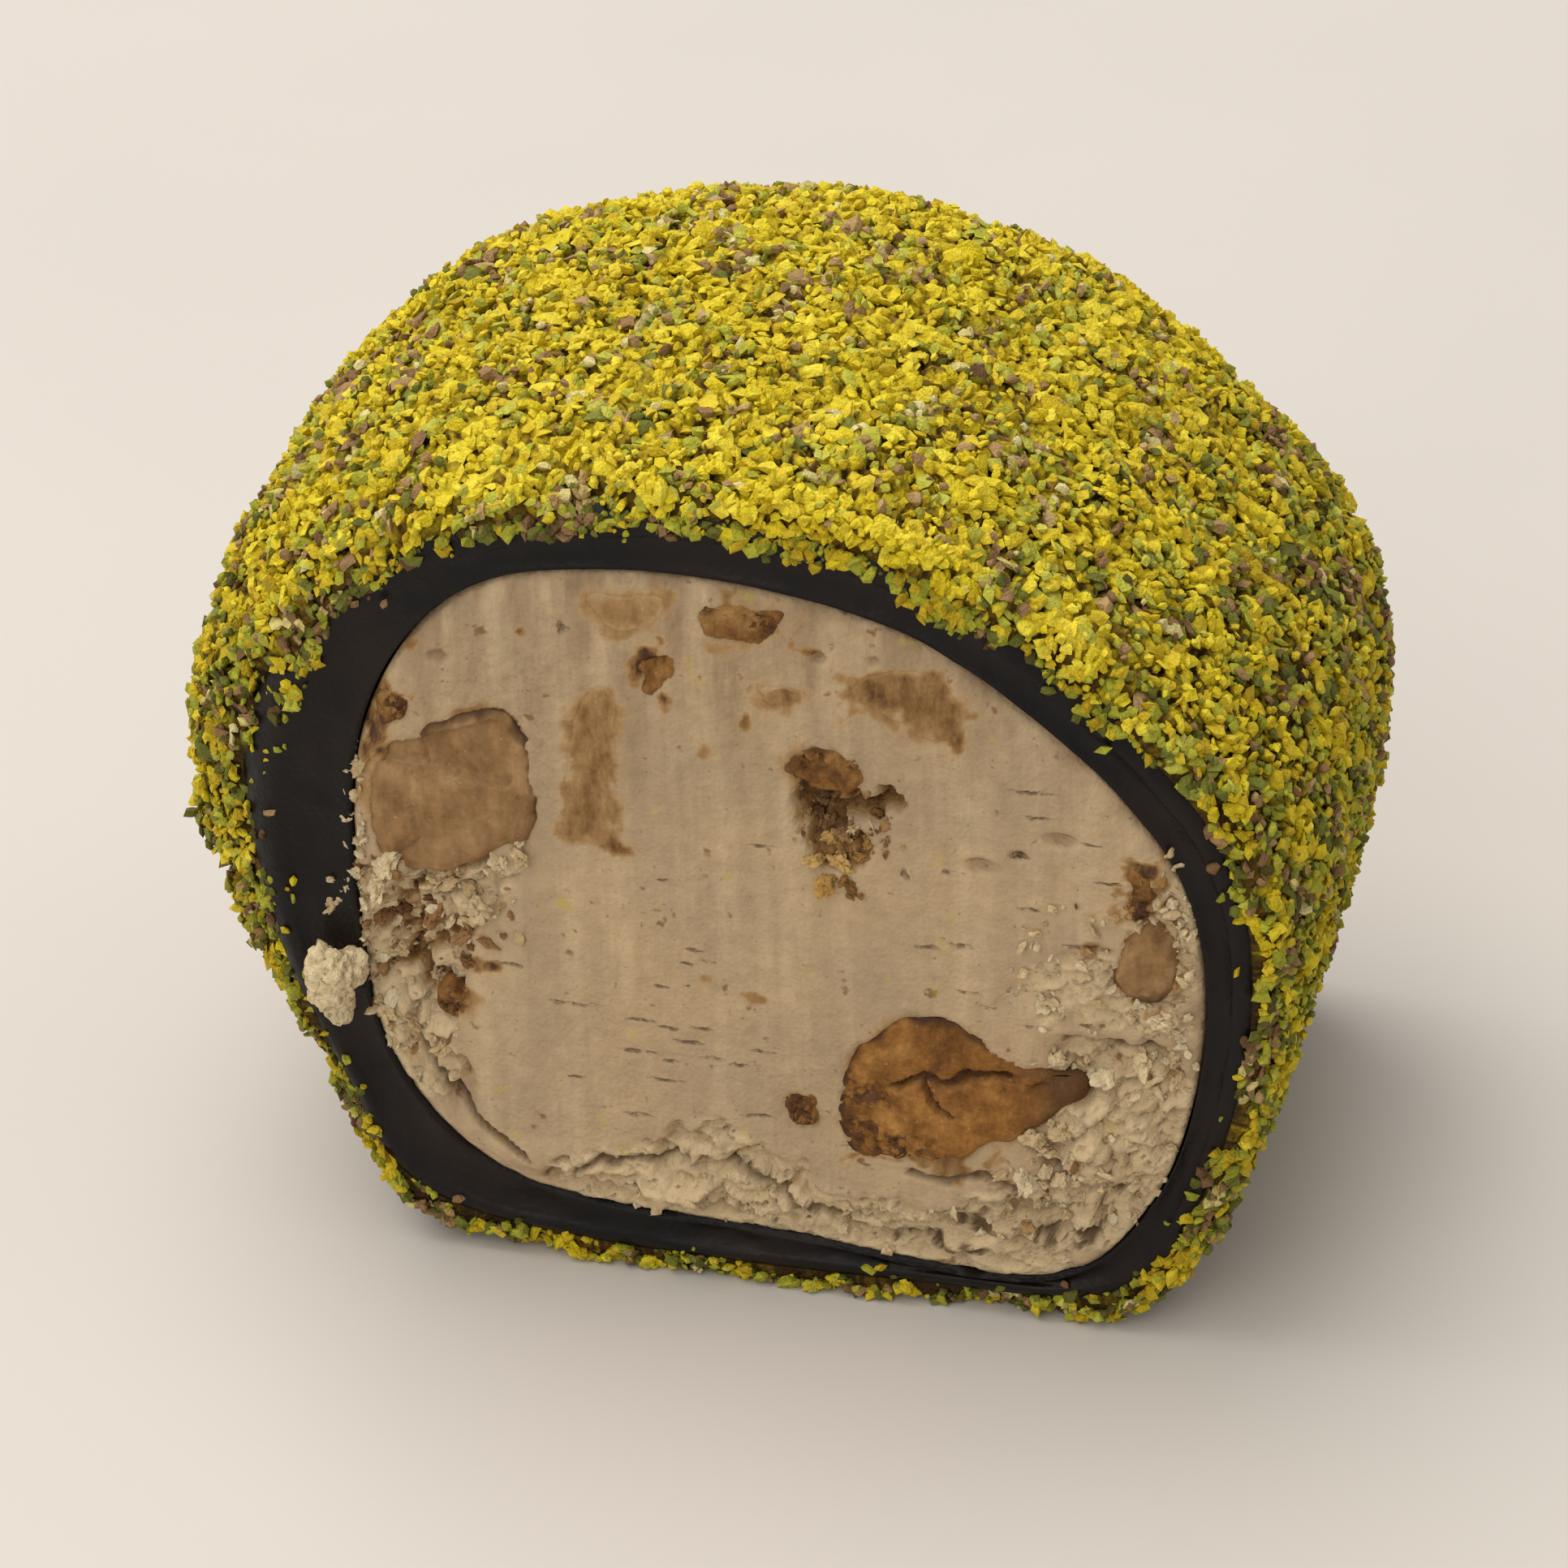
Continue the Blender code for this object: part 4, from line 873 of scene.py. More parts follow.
def fillingMaterial():
    material, tree, shader = startMaterial("paleFilling")
    marks = readMarks(tree)
    where = placeOn(tree)
    clouds = addFade(tree, noiseOn(tree, where, 7.0, 3.0), 0.35, 0.65)
    colour = mixColours(tree, clouds, filling["cream"], filling["grey"])
    streaks = noiseOn(tree, placeOn(tree, (1, 1, 0.06)), 1.3, 4.0)
    streakMask = addFade(tree, streaks, 0.45, 0.75, 0.0, 0.5)
    colour = mixColours(tree, streakMask, colour, filling["pale"])
    # the upper part is darker, dragged by the blade
    height = addNode(tree, "ShaderNodeSeparateXYZ", {}, Vector=where).outputs["Z"]
    low, high = filling["upper"]
    upper = addNode(tree, "ShaderNodeMapRange", {"From Min": low * mm, "From Max": high * mm},
                    Value=height)
    drags = noiseOn(tree, placeOn(tree, (1, 1, 0.16)), 1.9, 5.0, 0.65)
    drags = addFade(tree, drags, 0.36, 0.60, 1.0, 0.0)
    dragged = mathNode(tree, "MULTIPLY", mathNode(tree, "MULTIPLY", drags, upper.outputs["Result"]), 0.85)
    colour = mixColours(tree, dragged, colour, filling["dragged"])
    colour = mixColours(tree, marks["Green"], colour, filling["pale"])
    speckle = addFade(tree, noiseOn(tree, where, 0.9, 5.0, 0.7), 0.3, 0.7, 0.88, 1.08)
    colour = mixColours(tree, 1.0, colour, speckle, "MULTIPLY")
    for size, detail, roughness, start, end, strength, shade in filling["specks"]:
        specks = addFade(tree, noiseOn(tree, where, size, detail, roughness), start, end, 0.0, strength)
        colour = mixColours(tree, specks, colour, filling[shade])
    # toasted smears, and painted shade in the cavity and the deep torn places: golden at their edge, dark
    # in the middle
    mottle = noiseOn(tree, placeOn(tree, (1, 1, 0.4)), 0.8, 5.0, 0.65)
    toastAndShade = mathNode(tree, "MULTIPLY", marks["Red"], addFade(tree, mottle, 0.32, 0.66, 0.5, 1.3))
    smear = addRamp(tree, toastAndShade, [(0.0, filling["cream"]), *filling["toastAndShadeStops"]])
    colour = mixColours(tree, addFade(tree, toastAndShade, 0.05, 0.35), colour, smear)
    # the blue marks: painted shade in the cracks, the dark smears of lokum, and the edge darker toward
    # the wrap
    colour = mixColours(tree, mathNode(tree, "MULTIPLY", marks["Blue"], 0.85), colour, filling["shade"])
    # fine level slits, their places warped a little; bumped and painted darker, the dark being painted
    # shade in them
    warp = addNode(tree, "ShaderNodeTexNoise", {"Scale": 1 / (0.5 * mm), "Detail": 4.0}, Vector=where)
    centred = addNode(tree, "ShaderNodeVectorMath", {"operation": "SUBTRACT", 1: (0.5,) * 3},
                      (warp.outputs["Color"],))
    reach = tuple(size * mm for size in filling["slitWarp"])
    warped = addNode(tree, "ShaderNodeVectorMath", {"operation": "MULTIPLY_ADD", 1: reach},
                     (centred.outputs["Vector"],))
    tree.links.new(where, warped.inputs[2])
    slit = None
    for slitX, slitZ, halfWidth, halfHeight in slits:
        mark = addNode(tree, "ShaderNodeGroup", {"node_tree": slitGroup})
        mark.inputs["Centre"].default_value = ((slitX + roll["shift"]) * mm, 0, slitZ * mm)
        mark.inputs["Reach"].default_value = (1 / (halfWidth * mm), 0, 1.25 / (halfHeight * mm))
        tree.links.new(warped.outputs["Vector"], mark.inputs["Place"])
        if slit:
            tree.links.new(slit, mark.inputs["Before"])
        slit = mark.outputs["Mask"]
    slit = addFade(tree, slit, 0.0, 0.9)
    breaks = addFade(tree, noiseOn(tree, where, 0.6, 3.0), 0.42, 0.55, 0.15)
    slit = mathNode(tree, "MULTIPLY", slit, breaks)
    whole = mathNode(tree, "MULTIPLY_ADD", marks["Green"], -0.85, 1.0)
    slit = mathNode(tree, "MULTIPLY", slit, whole)
    # painted shade in the slits
    colour = mixColours(tree, mathNode(tree, "MULTIPLY", slit, 0.55), colour, filling["slit"])
    paint(tree, shader, colour, mathNode(tree, "MULTIPLY_ADD", marks["Green"], 0.2, 0.6), 0.25, 0.12)
    grainBump = addGrain(tree, shader, 0.6, 0.25, 0.5, 0.6, 0.16)
    crags = mathNode(tree, "MULTIPLY", noiseOn(tree, where, 0.6, 6.0, 0.7), marks["Green"])
    cragBump = addNode(tree, "ShaderNodeBump", {"Strength": 0.5, "Distance": 0.3 * mm}, Height=crags)
    tree.links.new(cragBump.outputs["Normal"], grainBump.inputs["Normal"])
    slitBump = addNode(tree, "ShaderNodeBump", {"Strength": 1.0, "Distance": 0.4 * mm, "invert": True},
                       Height=slit, Normal=grainBump.outputs["Normal"])
    tree.links.new(slitBump.outputs["Normal"], shader.inputs["Normal"])
    return material


creamMaterial = buildFilling()


# the nuts
nutLook = {
    "largeFrom": 7,           # width of a nut that gets the finer grid
    "largeCount": 60,
    "smallCount": 24,
    "proud": 0.12,            # how far a nut stands out of the cut
    "mostProud": 0.5,
    "rimDepth": 0.30,
    "fleck": (0.55, 0.42, 0.26),
    # dark skin, also used for painted shadow along one side and painted shade in the cracks
    "skinAndShade": (0.055, 0.024, 0.010),
    "pit": (0.105, 0.045, 0.014),
    "nutTan": [(0.0, (0.16, 0.078, 0.024)), (0.5, (0.29, 0.160, 0.062)), (1.0, (0.40, 0.245, 0.110))],
    "nutGold": [(0.0, (0.10, 0.034, 0.006)), (0.5, (0.27, 0.115, 0.022)), (1.0, (0.47, 0.235, 0.060))],
    "nutToast": [(0.0, (0.09, 0.034, 0.008)), (0.5, (0.26, 0.120, 0.030)), (1.0, (0.44, 0.25, 0.085))],
}


def nutMaterial(name, stops, roughness, grain):
    material, tree, shader = startMaterial(name)
    where = placeOn(tree)
    marks = readMarks(tree)
    body = noiseOn(tree, where, 2.0, 6.0, 0.7)
    colour = addRamp(tree, body, [(0.3 + 0.4 * place, shade) for place, shade in stops])
    fibres = noiseOn(tree, placeOn(tree, (1, 1, 0.3)), 0.5, 3.0)
    colour = mixColours(tree, 1.0, colour, addFade(tree, fibres, 0.3, 0.7, 0.8, 1.12), "MULTIPLY")
    flecks = addFade(tree, noiseOn(tree, where, 0.35, 2.0), 0.70, 0.78, 0.0, 0.6)
    colour = mixColours(tree, flecks, colour, nutLook["fleck"])
    pits = addFade(tree, noiseOn(tree, where, 0.55, 2.0), 0.48, 0.56)
    pits = mathNode(tree, "MULTIPLY", pits, marks["Blue"])
    colour = mixColours(tree, pits, colour, nutLook["pit"])
    colour = mixColours(tree, marks["Red"], colour, nutLook["skinAndShade"])
    paint(tree, shader, colour, glossOn(tree, where, 0.6, 3.0, roughness), 0.2)
    addGrain(tree, shader, 0.6, 0.25, 0.4, grain, 0.16)
    return material


nutMaterials = {name: nutMaterial(name, nutLook[name], roughness, grain) for name, roughness, grain in (
    ("nutTan", 0.45, 0.3), ("nutGold", 0.55, 0.8), ("nutToast", 0.65, 1.0))}
softMaterial = creamMaterial.copy()
softMaterial.name = "nutSoft"
nutTones = {"nut_left": "nutTan", "nut_right": "nutGold", "nut_edge": "nutTan",
            "nut_back_large": "nutGold", "nut_back_high": "nutTan", "nut_back_low": "nutGold",
            "nut_back_left": "nutTan"}
# toward which side a band of dark skin and painted shadow shows: x, z
nutSkinShadowSides = {"nut_left": (0.7, 0.8), "nut_right": (-0.8, 0.5), "nut_back_large": (0.6, 0.6)}
# cracks in the nuts: points along each, half width
nutCracks = {"nut_right": [([(8.0, 13.0), (9.4, 13.9), (10.6, 13.6), (12.2, 14.5), (13.6, 14.3)], 0.2),
                           ([(9.4, 13.9), (9.8, 12.6), (10.9, 11.9)], 0.14)],
             "nut_back_large": [([(6.0, 20.0), (8.6, 21.4), (11.6, 21.0), (13.4, 22.6)], 0.2)]}


def buildNut(name, loop, depth, end, sign):
    large = np.ptp(loop[:, 0]) > nutLook["largeFrom"]
    soft = name in softNuts
    count = nutLook["largeCount"] if large or soft else nutLook["smallCount"]
    seed = sum(map(ord, name))
    edgeWidth, unevenness, unevenSize = (0.7, 0.15, 2.2) if large else (0.4, 0.30, 0.8)

    def cutMarks(x, z):
        # cracks, granular parts and the raised lobe of the cut nut
        flat = flatOf(x, z, seed)
        line, grain, lobe = 0 * x, 0 * x, 0 * x
        for points, width in nutCracks.get(name, []):
            away = lineDistance(x, z + 0.2 * roughNoise(flat, 0.8, 8, 2), shifted(points))
            line = np.maximum(line, np.clip(1 - (away / width) ** 2, 0, 1))
        if name == "nut_right":       # two lobes beside the crack; the left part is granular
            crackX, crackZ = shifted(nutCracks[name][0][0]).T
            lobe = smoothStep(0.25, -0.1, z - np.interp(x, crackX, crackZ)) * smoothStep(7.5, 9.5, x)
            grain = smoothStep(10.5, 7.5, x + 0.7 * (z - 12))
            grain *= smoothStep(-0.5, 0.4, roughNoise(flat, 1.4, 71, 2))
        elif not large and name != "nut_edge":
            grain = smoothStep(-0.2, 0.4, roughNoise(flat, 1.2, 71, 2))
        return line, grain, lobe

    def frontShape(x, z, share):
        flat = flatOf(x, z, seed)
        edge = insideDistance(x, z, loop)
        if soft:                      # level with the filling, its edge just under it
            sunk = frontRelief(x, z)[0] - filling["well"] * smoothStep(0.25, 0.6, edge)
            return end + sunk + 0.06 - 0.10 * smoothStep(0.0, 0.3, edge)
        fall = 0.30 * np.clip(1 - edge / edgeWidth, 0, 1) ** 2
        sunk = unevenness * roughNoise(flat, unevenSize, seed, 4) + fall
        if name == "nut_left":        # smooth facets that lean out to the right
            facets, _, _, _ = plates(flat, (5.0, 30.0, 4.0), 11)
            sunk = fall - 0.35 * smoothStep(-16.5, -10.5, x) + 0.15 + 0.3 * facets
            sunk += 0.07 * roughNoise(flat, 3.0, seed, 4)
        if name == "nut_centre":      # sinks into the cavity below it
            sunk = sunk + 0.5 * smoothStep(30.2, 29.0, z)
        line, grain, lobe = cutMarks(x, z)
        bits, gaps, _, _ = plates(flat, (0.7, 4.0, 0.6), seed)
        sunk = sunk + 0.6 * line - 0.28 * lobe + grain * (0.16 * bits + 0.22 * gaps)
        return end + sign * np.maximum(sunk - nutLook["proud"], -nutLook["mostProud"])

    def rimDepth(x, z, share):
        if soft:
            return frontShape(x, z, share)
        return end - sign * nutLook["proud"] + sign * nutLook["rimDepth"]

    def backShape(x, z, share):
        bowl = np.sqrt(np.clip(1 - share ** 2, 0, 1))
        return rimDepth(x, z, share) + sign * depth * bowl

    def closedFront(x, z, share):
        # meets the back exactly at the outline
        rim = smoothStep(1.0, 0.93, share)
        return rimDepth(x, z, share) * (1 - rim) + frontShape(x, z, share) * rim

    obj = closedBody(name + "_piece", loop, count, closedFront, backShape)
    x, y, z = placesOf(obj).T
    if soft:
        setMarks(obj, brownness(x, z), *frontRelief(x, z)[2:4])
        finishPiece(obj, softMaterial, "nut", name)
        return
    edge = insideDistance(x, z, loop)
    flat = np.column_stack([x, y, z])
    deep = smoothStep(0.8, 1.5, sign * (y - end))
    rough = 0.35 * roughNoise(flat, 0.9, seed, 3)
    skinAndShade = 0.8 * smoothStep(0.30, 0.0, edge + rough) * smoothStep(-0.1, 0.5, softNoise(flat, 2.4, 77))
    if name in nutSkinShadowSides:
        toSide = (np.column_stack([x, z]) - loop.mean(axis=0)) @ nutSkinShadowSides[name]
        # a band of painted shadow along one side of the edge
        band = smoothStep(0.42, 0.05, edge + 0.8 * rough) * smoothStep(-1.0, 3.0, toSide)
        skinAndShade = np.maximum(skinAndShade, 0.9 * band)
    line, grain, _ = cutMarks(x, z)
    if name == "nut_right":           # its pointed end is dark
        skinAndShade = np.maximum(skinAndShade, 0.75 * smoothStep(14.2, 16.6, x + 0.5 * roughNoise(flat, 1.2, 5, 3)))
    # the red mark: skin at the edge and behind the cut, painted shadow along one side, and painted shade
    # in the cracks
    setMarks(obj, np.maximum.reduce([skinAndShade, 0.9 * line, deep]), 0 * x, grain)
    finishPiece(obj, nutMaterials[nutTones.get(name, "nutToast")], "nut", name)


for name, (_, depth) in frontNuts.items():
    buildNut(name, frontLoops[name], depth, roll["front"], 1)
for name, values in backNuts.items():
    buildNut(name, backLoops[name], values[5], roll["back"], -1)


# crumbs: a few angular shapes, copied many times
def addBall(subdivisions, **where):
    bpy.ops.object.select_all(action="DESELECT")
    bpy.ops.mesh.primitive_ico_sphere_add(subdivisions=subdivisions, radius=1, **where)
    return bpy.context.object


def takeShape(obj):
    # the points and triangles of a crumb; the object itself isn't needed any more
    mesh = obj.data
    points, faces = readVectors(mesh), np.array([list(p.vertices) for p in mesh.polygons])
    bpy.data.objects.remove(obj)
    bpy.data.meshes.remove(mesh)
    return points, faces


def angularShape(seed, subdivisions, jitter, cuts):
    dice = np.random.default_rng(seed)
    obj = addBall(subdivisions)
    points = readVectors(obj.data) * dice.uniform(*jitter, (len(obj.data.vertices), 1))
    obj.data.vertices.foreach_set("co", points.ravel())
    bpy.ops.object.mode_set(mode="EDIT")
    for _ in range(cuts):
        direction = Vector(dice.normal(size=3)).normalized()
        bpy.ops.mesh.select_all(action="SELECT")
        bpy.ops.mesh.bisect(plane_co=direction * dice.uniform(0.4, 0.7), plane_no=direction,
                            use_fill=True, clear_outer=True)
    bpy.ops.mesh.select_all(action="SELECT")
    bpy.ops.mesh.quads_convert_to_tris()
    bpy.ops.object.mode_set(mode="OBJECT")
    return takeShape(obj)


coarseShapes = [angularShape(seed, 2, (0.6, 1.25), 1) for seed in range(6)]
mediumShapes = [angularShape(seed + 20, 1, (0.5, 1.4), 0) for seed in range(8)]
fineShapes = [angularShape(seed + 40, 1, (0.6, 1.3), 0) for seed in range(6)]


def raggedShape(seed, subdivisions):
    # a torn bit of cake: clods and gaps over a ball
    points, faces = takeShape(addBall(subdivisions))
    points = unit(points / mm)
    clod, gap, _, _ = plates(points + 0.25 * softNoise(points, 0.5, seed)[:, None], (0.75,) * 3, seed)
    points *= (0.85 + 0.42 * softNoise(points, 0.9, seed + 3) + 0.22 * clod - 0.2 * gap
               + 0.22 * roughNoise(points, 0.5, seed + 5, 3))[:, None]
    return points, faces


chunkShapes, bitShapes, flakeShapes = ([raggedShape(first + seed, detail) for seed in range(6)]
                                       for first, detail in ((60, 4), (70, 3), (80, 2)))
print("crumb shapes:", [len(f) for _, f in coarseShapes + mediumShapes + fineShapes])


def turnsFor(normals, dice):
    # random turns, each with its third axis near the given normal
    count = len(normals)
    third = unit(normals + dice.normal(0, 0.5, (count, 3)))
    first = unit(np.cross(third, dice.normal(size=(count, 3))))
    return np.stack([first, np.cross(third, first), third], axis=2)


def spread(shapes, places, sizes, normals, tones, flatness, dice):
    # one joined set of points and triangles for crumbs at those places
    turns = turnsFor(normals, dice)
    which = dice.integers(0, len(shapes), len(places))
    allPoints, allFaces, allTones, start = [], [], [], 0
    for index, (points, faces) in enumerate(shapes):
        chosen = np.flatnonzero(which == index)
        if not len(chosen):
            continue
        scale = sizes[chosen, None] * np.column_stack([
            dice.uniform(0.8, 1.25, len(chosen)), dice.uniform(0.6, 1.0, len(chosen)),
            dice.uniform(*flatness, len(chosen))])
        moved = np.einsum("nij,nkj->nki", turns[chosen], points[None] * scale[:, None])
        allPoints.append((moved + places[chosen, None]).reshape(-1, 3))
        steps = start + np.arange(len(chosen)) * len(points)
        allFaces.append((faces[None] + steps[:, None, None]).reshape(-1, 3))
        allTones.append(np.repeat(tones[chosen], len(points)))
        start += len(chosen) * len(points)
    return np.vstack(allPoints), np.vstack(allFaces), np.concatenate(allTones)


def crumbPiece(name, sets, material, slot, node, sharpFrom):
    # all the crumbs of one kind as one mesh, kept inside the solids' box
    points, faces, tones, start = [], [], [], 0
    for somePoints, someFaces, someTones in sets:
        points.append(somePoints)
        faces.append(someFaces + start)
        tones.append(someTones)
        start += len(somePoints)
    points, faces, tones = np.vstack(points), np.vstack(faces), np.concatenate(tones)
    points = np.clip(points, np.array(cadLow) / mm + boxInset, np.array(cadHigh) / mm - boxInset)
    mesh = bpy.data.meshes.new(name)
    mesh.vertices.add(len(points))
    mesh.vertices.foreach_set("co", (points * mm).astype(np.float32).ravel())
    mesh.loops.add(faces.size)
    mesh.loops.foreach_set("vertex_index", faces.astype(np.int32).ravel())
    mesh.polygons.add(len(faces))
    mesh.polygons.foreach_set("loop_start", np.arange(0, faces.size, 3, dtype=np.int32))
    mesh.update(calc_edges=True)
    setTones(mesh, tones)
    obj = bpy.data.objects.new(name, mesh)
    bpy.context.scene.collection.objects.link(obj)
    finishPiece(obj, material, slot, node)
    selectOnly(obj)
    bpy.ops.object.shade_smooth_by_angle(angle=math.radians(sharpFrom))


def crumbMaterial(name, stops, roughness=0.7, soft=0.0):
    material, tree, shader = startMaterial(name)
    tone = addNode(tree, "ShaderNodeAttribute", {"attribute_name": "tone"})
    colour = addRamp(tree, tone.outputs["Fac"], stops)
    patches = addFade(tree, noiseOn(tree, placeOn(tree), 0.4, 3.0), 0.3, 0.7, 0.75, 1.12)
    colour = mixColours(tree, 1.0, colour, patches, "MULTIPLY")
    paint(tree, shader, colour, glossOn(tree, placeOn(tree), 0.3, 2.0, roughness), 0.25, soft)
    addGrain(tree, shader, 0.30, 0.15, 0.6, 0.9, 0.14)
    return material


coat = {
    "setback": 0.1,           # bare rim at the cuts
    "leftSetback": 1.4,
    "bulge": 1.5,             # how far the coat swells on the left flank
    "halfWidth": 25.0,
    "rim": 0.8,               # thickness at the rims and in the middle
    "body": 1.2,
    "baseAround": 760,
    "baseRows": 118,
    # spacing and sizes of the separate crumbs, chance of one at each place, share of it where
    # the coat is bare, how far some stand out, how flat they are, whether they lie underneath
    "coarse": (1.9, (0.55, 0.85), 0.5, 0.05, 0.05, (0.35, 0.6), False),
    "medium": (0.67, (0.34, 0.62), 0.95, 0.22, 0.20, (0.3, 0.65), True),
    "fine": (0.59, (0.18, 0.36), 0.95, 0.22, 0.42, (0.5, 1.0), True),
    "rimCrumbs": 9000,
    "edgeCrumbs": 2200,
    "edgeSizes": (0.24, 0.5),
    "bare": 0.45,             # how far its base lies inside the wrap where nothing covers it
    "cell": 0.85,             # size of the base's fused crumbs
    "floor": 0.12,            # lowest place of the base
    "innerFloor": 1.4,        # and of its hidden inner side
    "toEnd": 0.25,            # least distance of the edge crumbs from the cuts
    "resting": 0.7,           # share of its radius that a crumb stands over the floor
    "sharpFrom": 48,          # edges sharper than this many degrees stay sharp
    # where the left, right, low and high parts of the roll begin and are full
    "left": (-8, -24),
    "right": (17, 25),
    "low": (22, 8),
    "high": (30, 42),
    "rimSides": ((0.6,), (0.8,), (0.8,), (0.0,)),     # what the crumbs on the rims take for these four: low and away from the top, which paints them as shaded
    # share of each kind: where it is bright, where it isn't, and everywhere; bright is the painted light
    # of the top
    "shares": ((0.48, 0, 0), (0, 0, 0.26), (0, 0.18, 0.16), (0, 0.22, 0.03), (0, 0.08, 0.08),
               (0, 0, 0.02)),
    # crumbs on the rims: their chance outside and inside a ragged line, the smallest and the change
    # in size, and how bright they are beside the others: darker, as painted shade
    "rimChance": (0.85, 0.025),
    "rimSizes": (0.14, 0.34),
    "rimBright": 0.7,
    "Yellow": [(0.0, (0.58, 0.44, 0.008)), (0.5, (0.73, 0.58, 0.014)), (1.0, (0.84, 0.70, 0.05))],
    "Gold": [(0.0, (0.46, 0.31, 0.010)), (0.5, (0.64, 0.475, 0.014)), (1.0, (0.80, 0.63, 0.04))],
    "Lime": [(0.0, (0.27, 0.27, 0.018)), (0.5, (0.43, 0.42, 0.032)), (1.0, (0.58, 0.56, 0.08))],
    "Green": [(0.0, (0.075, 0.064, 0.008)), (0.5, (0.165, 0.175, 0.022)), (1.0, (0.28, 0.285, 0.04))],
    "Skin": [(0.0, (0.11, 0.052, 0.018)), (0.5, (0.33, 0.19, 0.080)), (1.0, (0.54, 0.37, 0.15))],
    "Pale": [(0.0, (0.55, 0.46, 0.13)), (0.5, (0.68, 0.58, 0.22)), (1.0, (0.78, 0.70, 0.36))],
    "base": [(0.0, (0.040, 0.020, 0.004)), (0.25, (0.15, 0.090, 0.006)), (0.5, (0.40, 0.30, 0.010)),
             (0.8, (0.62, 0.48, 0.012)), (1.0, (0.74, 0.58, 0.02))],
}


def coatEdge(base):
    # how far the coat stays behind the cut: most on the lower left
    left = np.clip((roll["middle"][0] - base[:, 0]) / coat["halfWidth"], 0, 1)
    height = smoothStep(36, 26, base[:, 1]) * smoothStep(2, 10, base[:, 1])
    return coat["setback"] + coat["leftSetback"] * left ** 2 * height


def coatState(around, y):
    # for places on the roll: how covered they are, whether they lie past the rim, how high the coat
    # stands there, and how far to the left, right, bottom and top they are
    place = onRoll(around, y, 0 * y)
    fromCut = np.minimum(y - roll["front"], roll["back"] - y) - coatEdge(rimBase(around))
    ragged = 0.8 * softNoise(place, 1.1, 5) + 0.8 * softNoise(place, 3.1, 6)
    edge = smoothStep(-0.6, 1.0, fromCut + ragged)
    left, right = (smoothStep(*coat[side], place[:, 0]) for side in ("left", "right"))
    low, high = (smoothStep(*coat[side], place[:, 2]) for side in ("low", "high"))
    bareness = softNoise(place, 2.6, 15) + 0.6 * softNoise(place, 1.1, 16)
    limit = 0.85 - 0.45 * left * (1 - 0.5 * high) - 0.08 * right + 0.2 * low * (1 - left) + 0.4 * high
    bare = smoothStep(limit - 0.1, limit + 0.25, bareness)
    cover = edge * (1 - bare)
    share = (y - roll["front"]) / (roll["back"] - roll["front"])
    thick = coat["rim"] + (coat["body"] - coat["rim"]) * (1 - np.abs(2 * share - 1) ** roll["power"])
    room = np.clip(place[:, 0] - cadLow[0] / mm - 2.3, 0, coat["bulge"])
    flank = smoothStep(9, 15, place[:, 2]) * smoothStep(31, 21, place[:, 2])
    thick = thick + 1.6 * room * left * flank * smoothStep(0.3, 3.0, fromCut)
    return cover, edge, thick, np.array([left, right, low, high])


def buildCoatBase():
    # a layer of fused crumbs under the separate ones
    columns, bare = coat["baseAround"], coat["bare"]
    around = np.linspace(0, 1, columns, endpoint=False)
    rows, tones = [], []
    lowY, highY = roll["front"] + 0.35, roll["back"] - 0.35
    for level in np.linspace(lowY, highY, coat["baseRows"]):
        y = np.full(columns, level)
        cover, _, thick, _ = coatState(around, y)
        place = onRoll(around, y, 0 * y)
        warped = place + 0.35 * np.column_stack([softNoise(place, 0.7, 53 + k) for k in range(3)])
        step, gap, tone, nearest = plates(warped, (coat["cell"],) * 3, 60)
        bumps = 0.22 * step + 0.30 * (0.5 - nearest) - 0.25 * gap
        points = onRoll(around, y, -bare + cover * (bare + 0.38 + thick * 0.55 + bumps))
        points[:, 2] = np.maximum(points[:, 2], coat["floor"] + 0.1 * (1 + softNoise(place, 1.0, 52)))
        rows.append(points)
        # painted shade in the gaps between the fused crumbs and painted light toward the top; also darker
        # where the coat is bare and toward the floor
        shown = 0.36 + 0.30 * tone - 0.5 * gap + 0.15 * softNoise(place, 4.0, 91)
        shown += 0.20 * smoothStep(26, 42, place[:, 2])
        shown *= 0.3 + 0.7 * smoothStep(0.5, 1.0, cover)
        tones.append(shown - 0.12 * smoothStep(6, 2, place[:, 2]))
    for level in (highY, lowY):
        points = onRoll(around, np.full(columns, level), np.full(columns, -0.8))
        points[:, 2] = np.maximum(points[:, 2], coat["innerFloor"])
        rows.append(points)
        tones.append(np.zeros(columns))
    rows = np.array(rows)
    obj = rolledSheet("coatBase", rows, ends=True)
    # each vertex takes the tone of the place it was set on
    keys, wanted = (np.rint(points * 500).astype(int) for points in (rows.reshape(-1, 3), placesOf(obj)))
    toneAt = dict(zip(map(tuple, keys), np.ravel(tones)))
    setTones(obj.data, [toneAt.get(tuple(key), 0.4) for key in wanted])
    material, tree, shader = startMaterial("pistachioDust")
    tone = addNode(tree, "ShaderNodeAttribute", {"attribute_name": "tone"}).outputs["Fac"]
    cells = noiseOn(tree, placeOn(tree), 0.35, 3.0)
    mixed = mathNode(tree, "ADD", tone, mathNode(tree, "MULTIPLY_ADD", cells, 0.5, -0.25))
    paint(tree, shader, addRamp(tree, mixed, coat["base"]), 0.8, 0.2)
    addGrain(tree, shader, 0.5, 0.25, 1.0, 0.8, 0.25)
    finishPiece(obj, material, "pistachio", "coat")


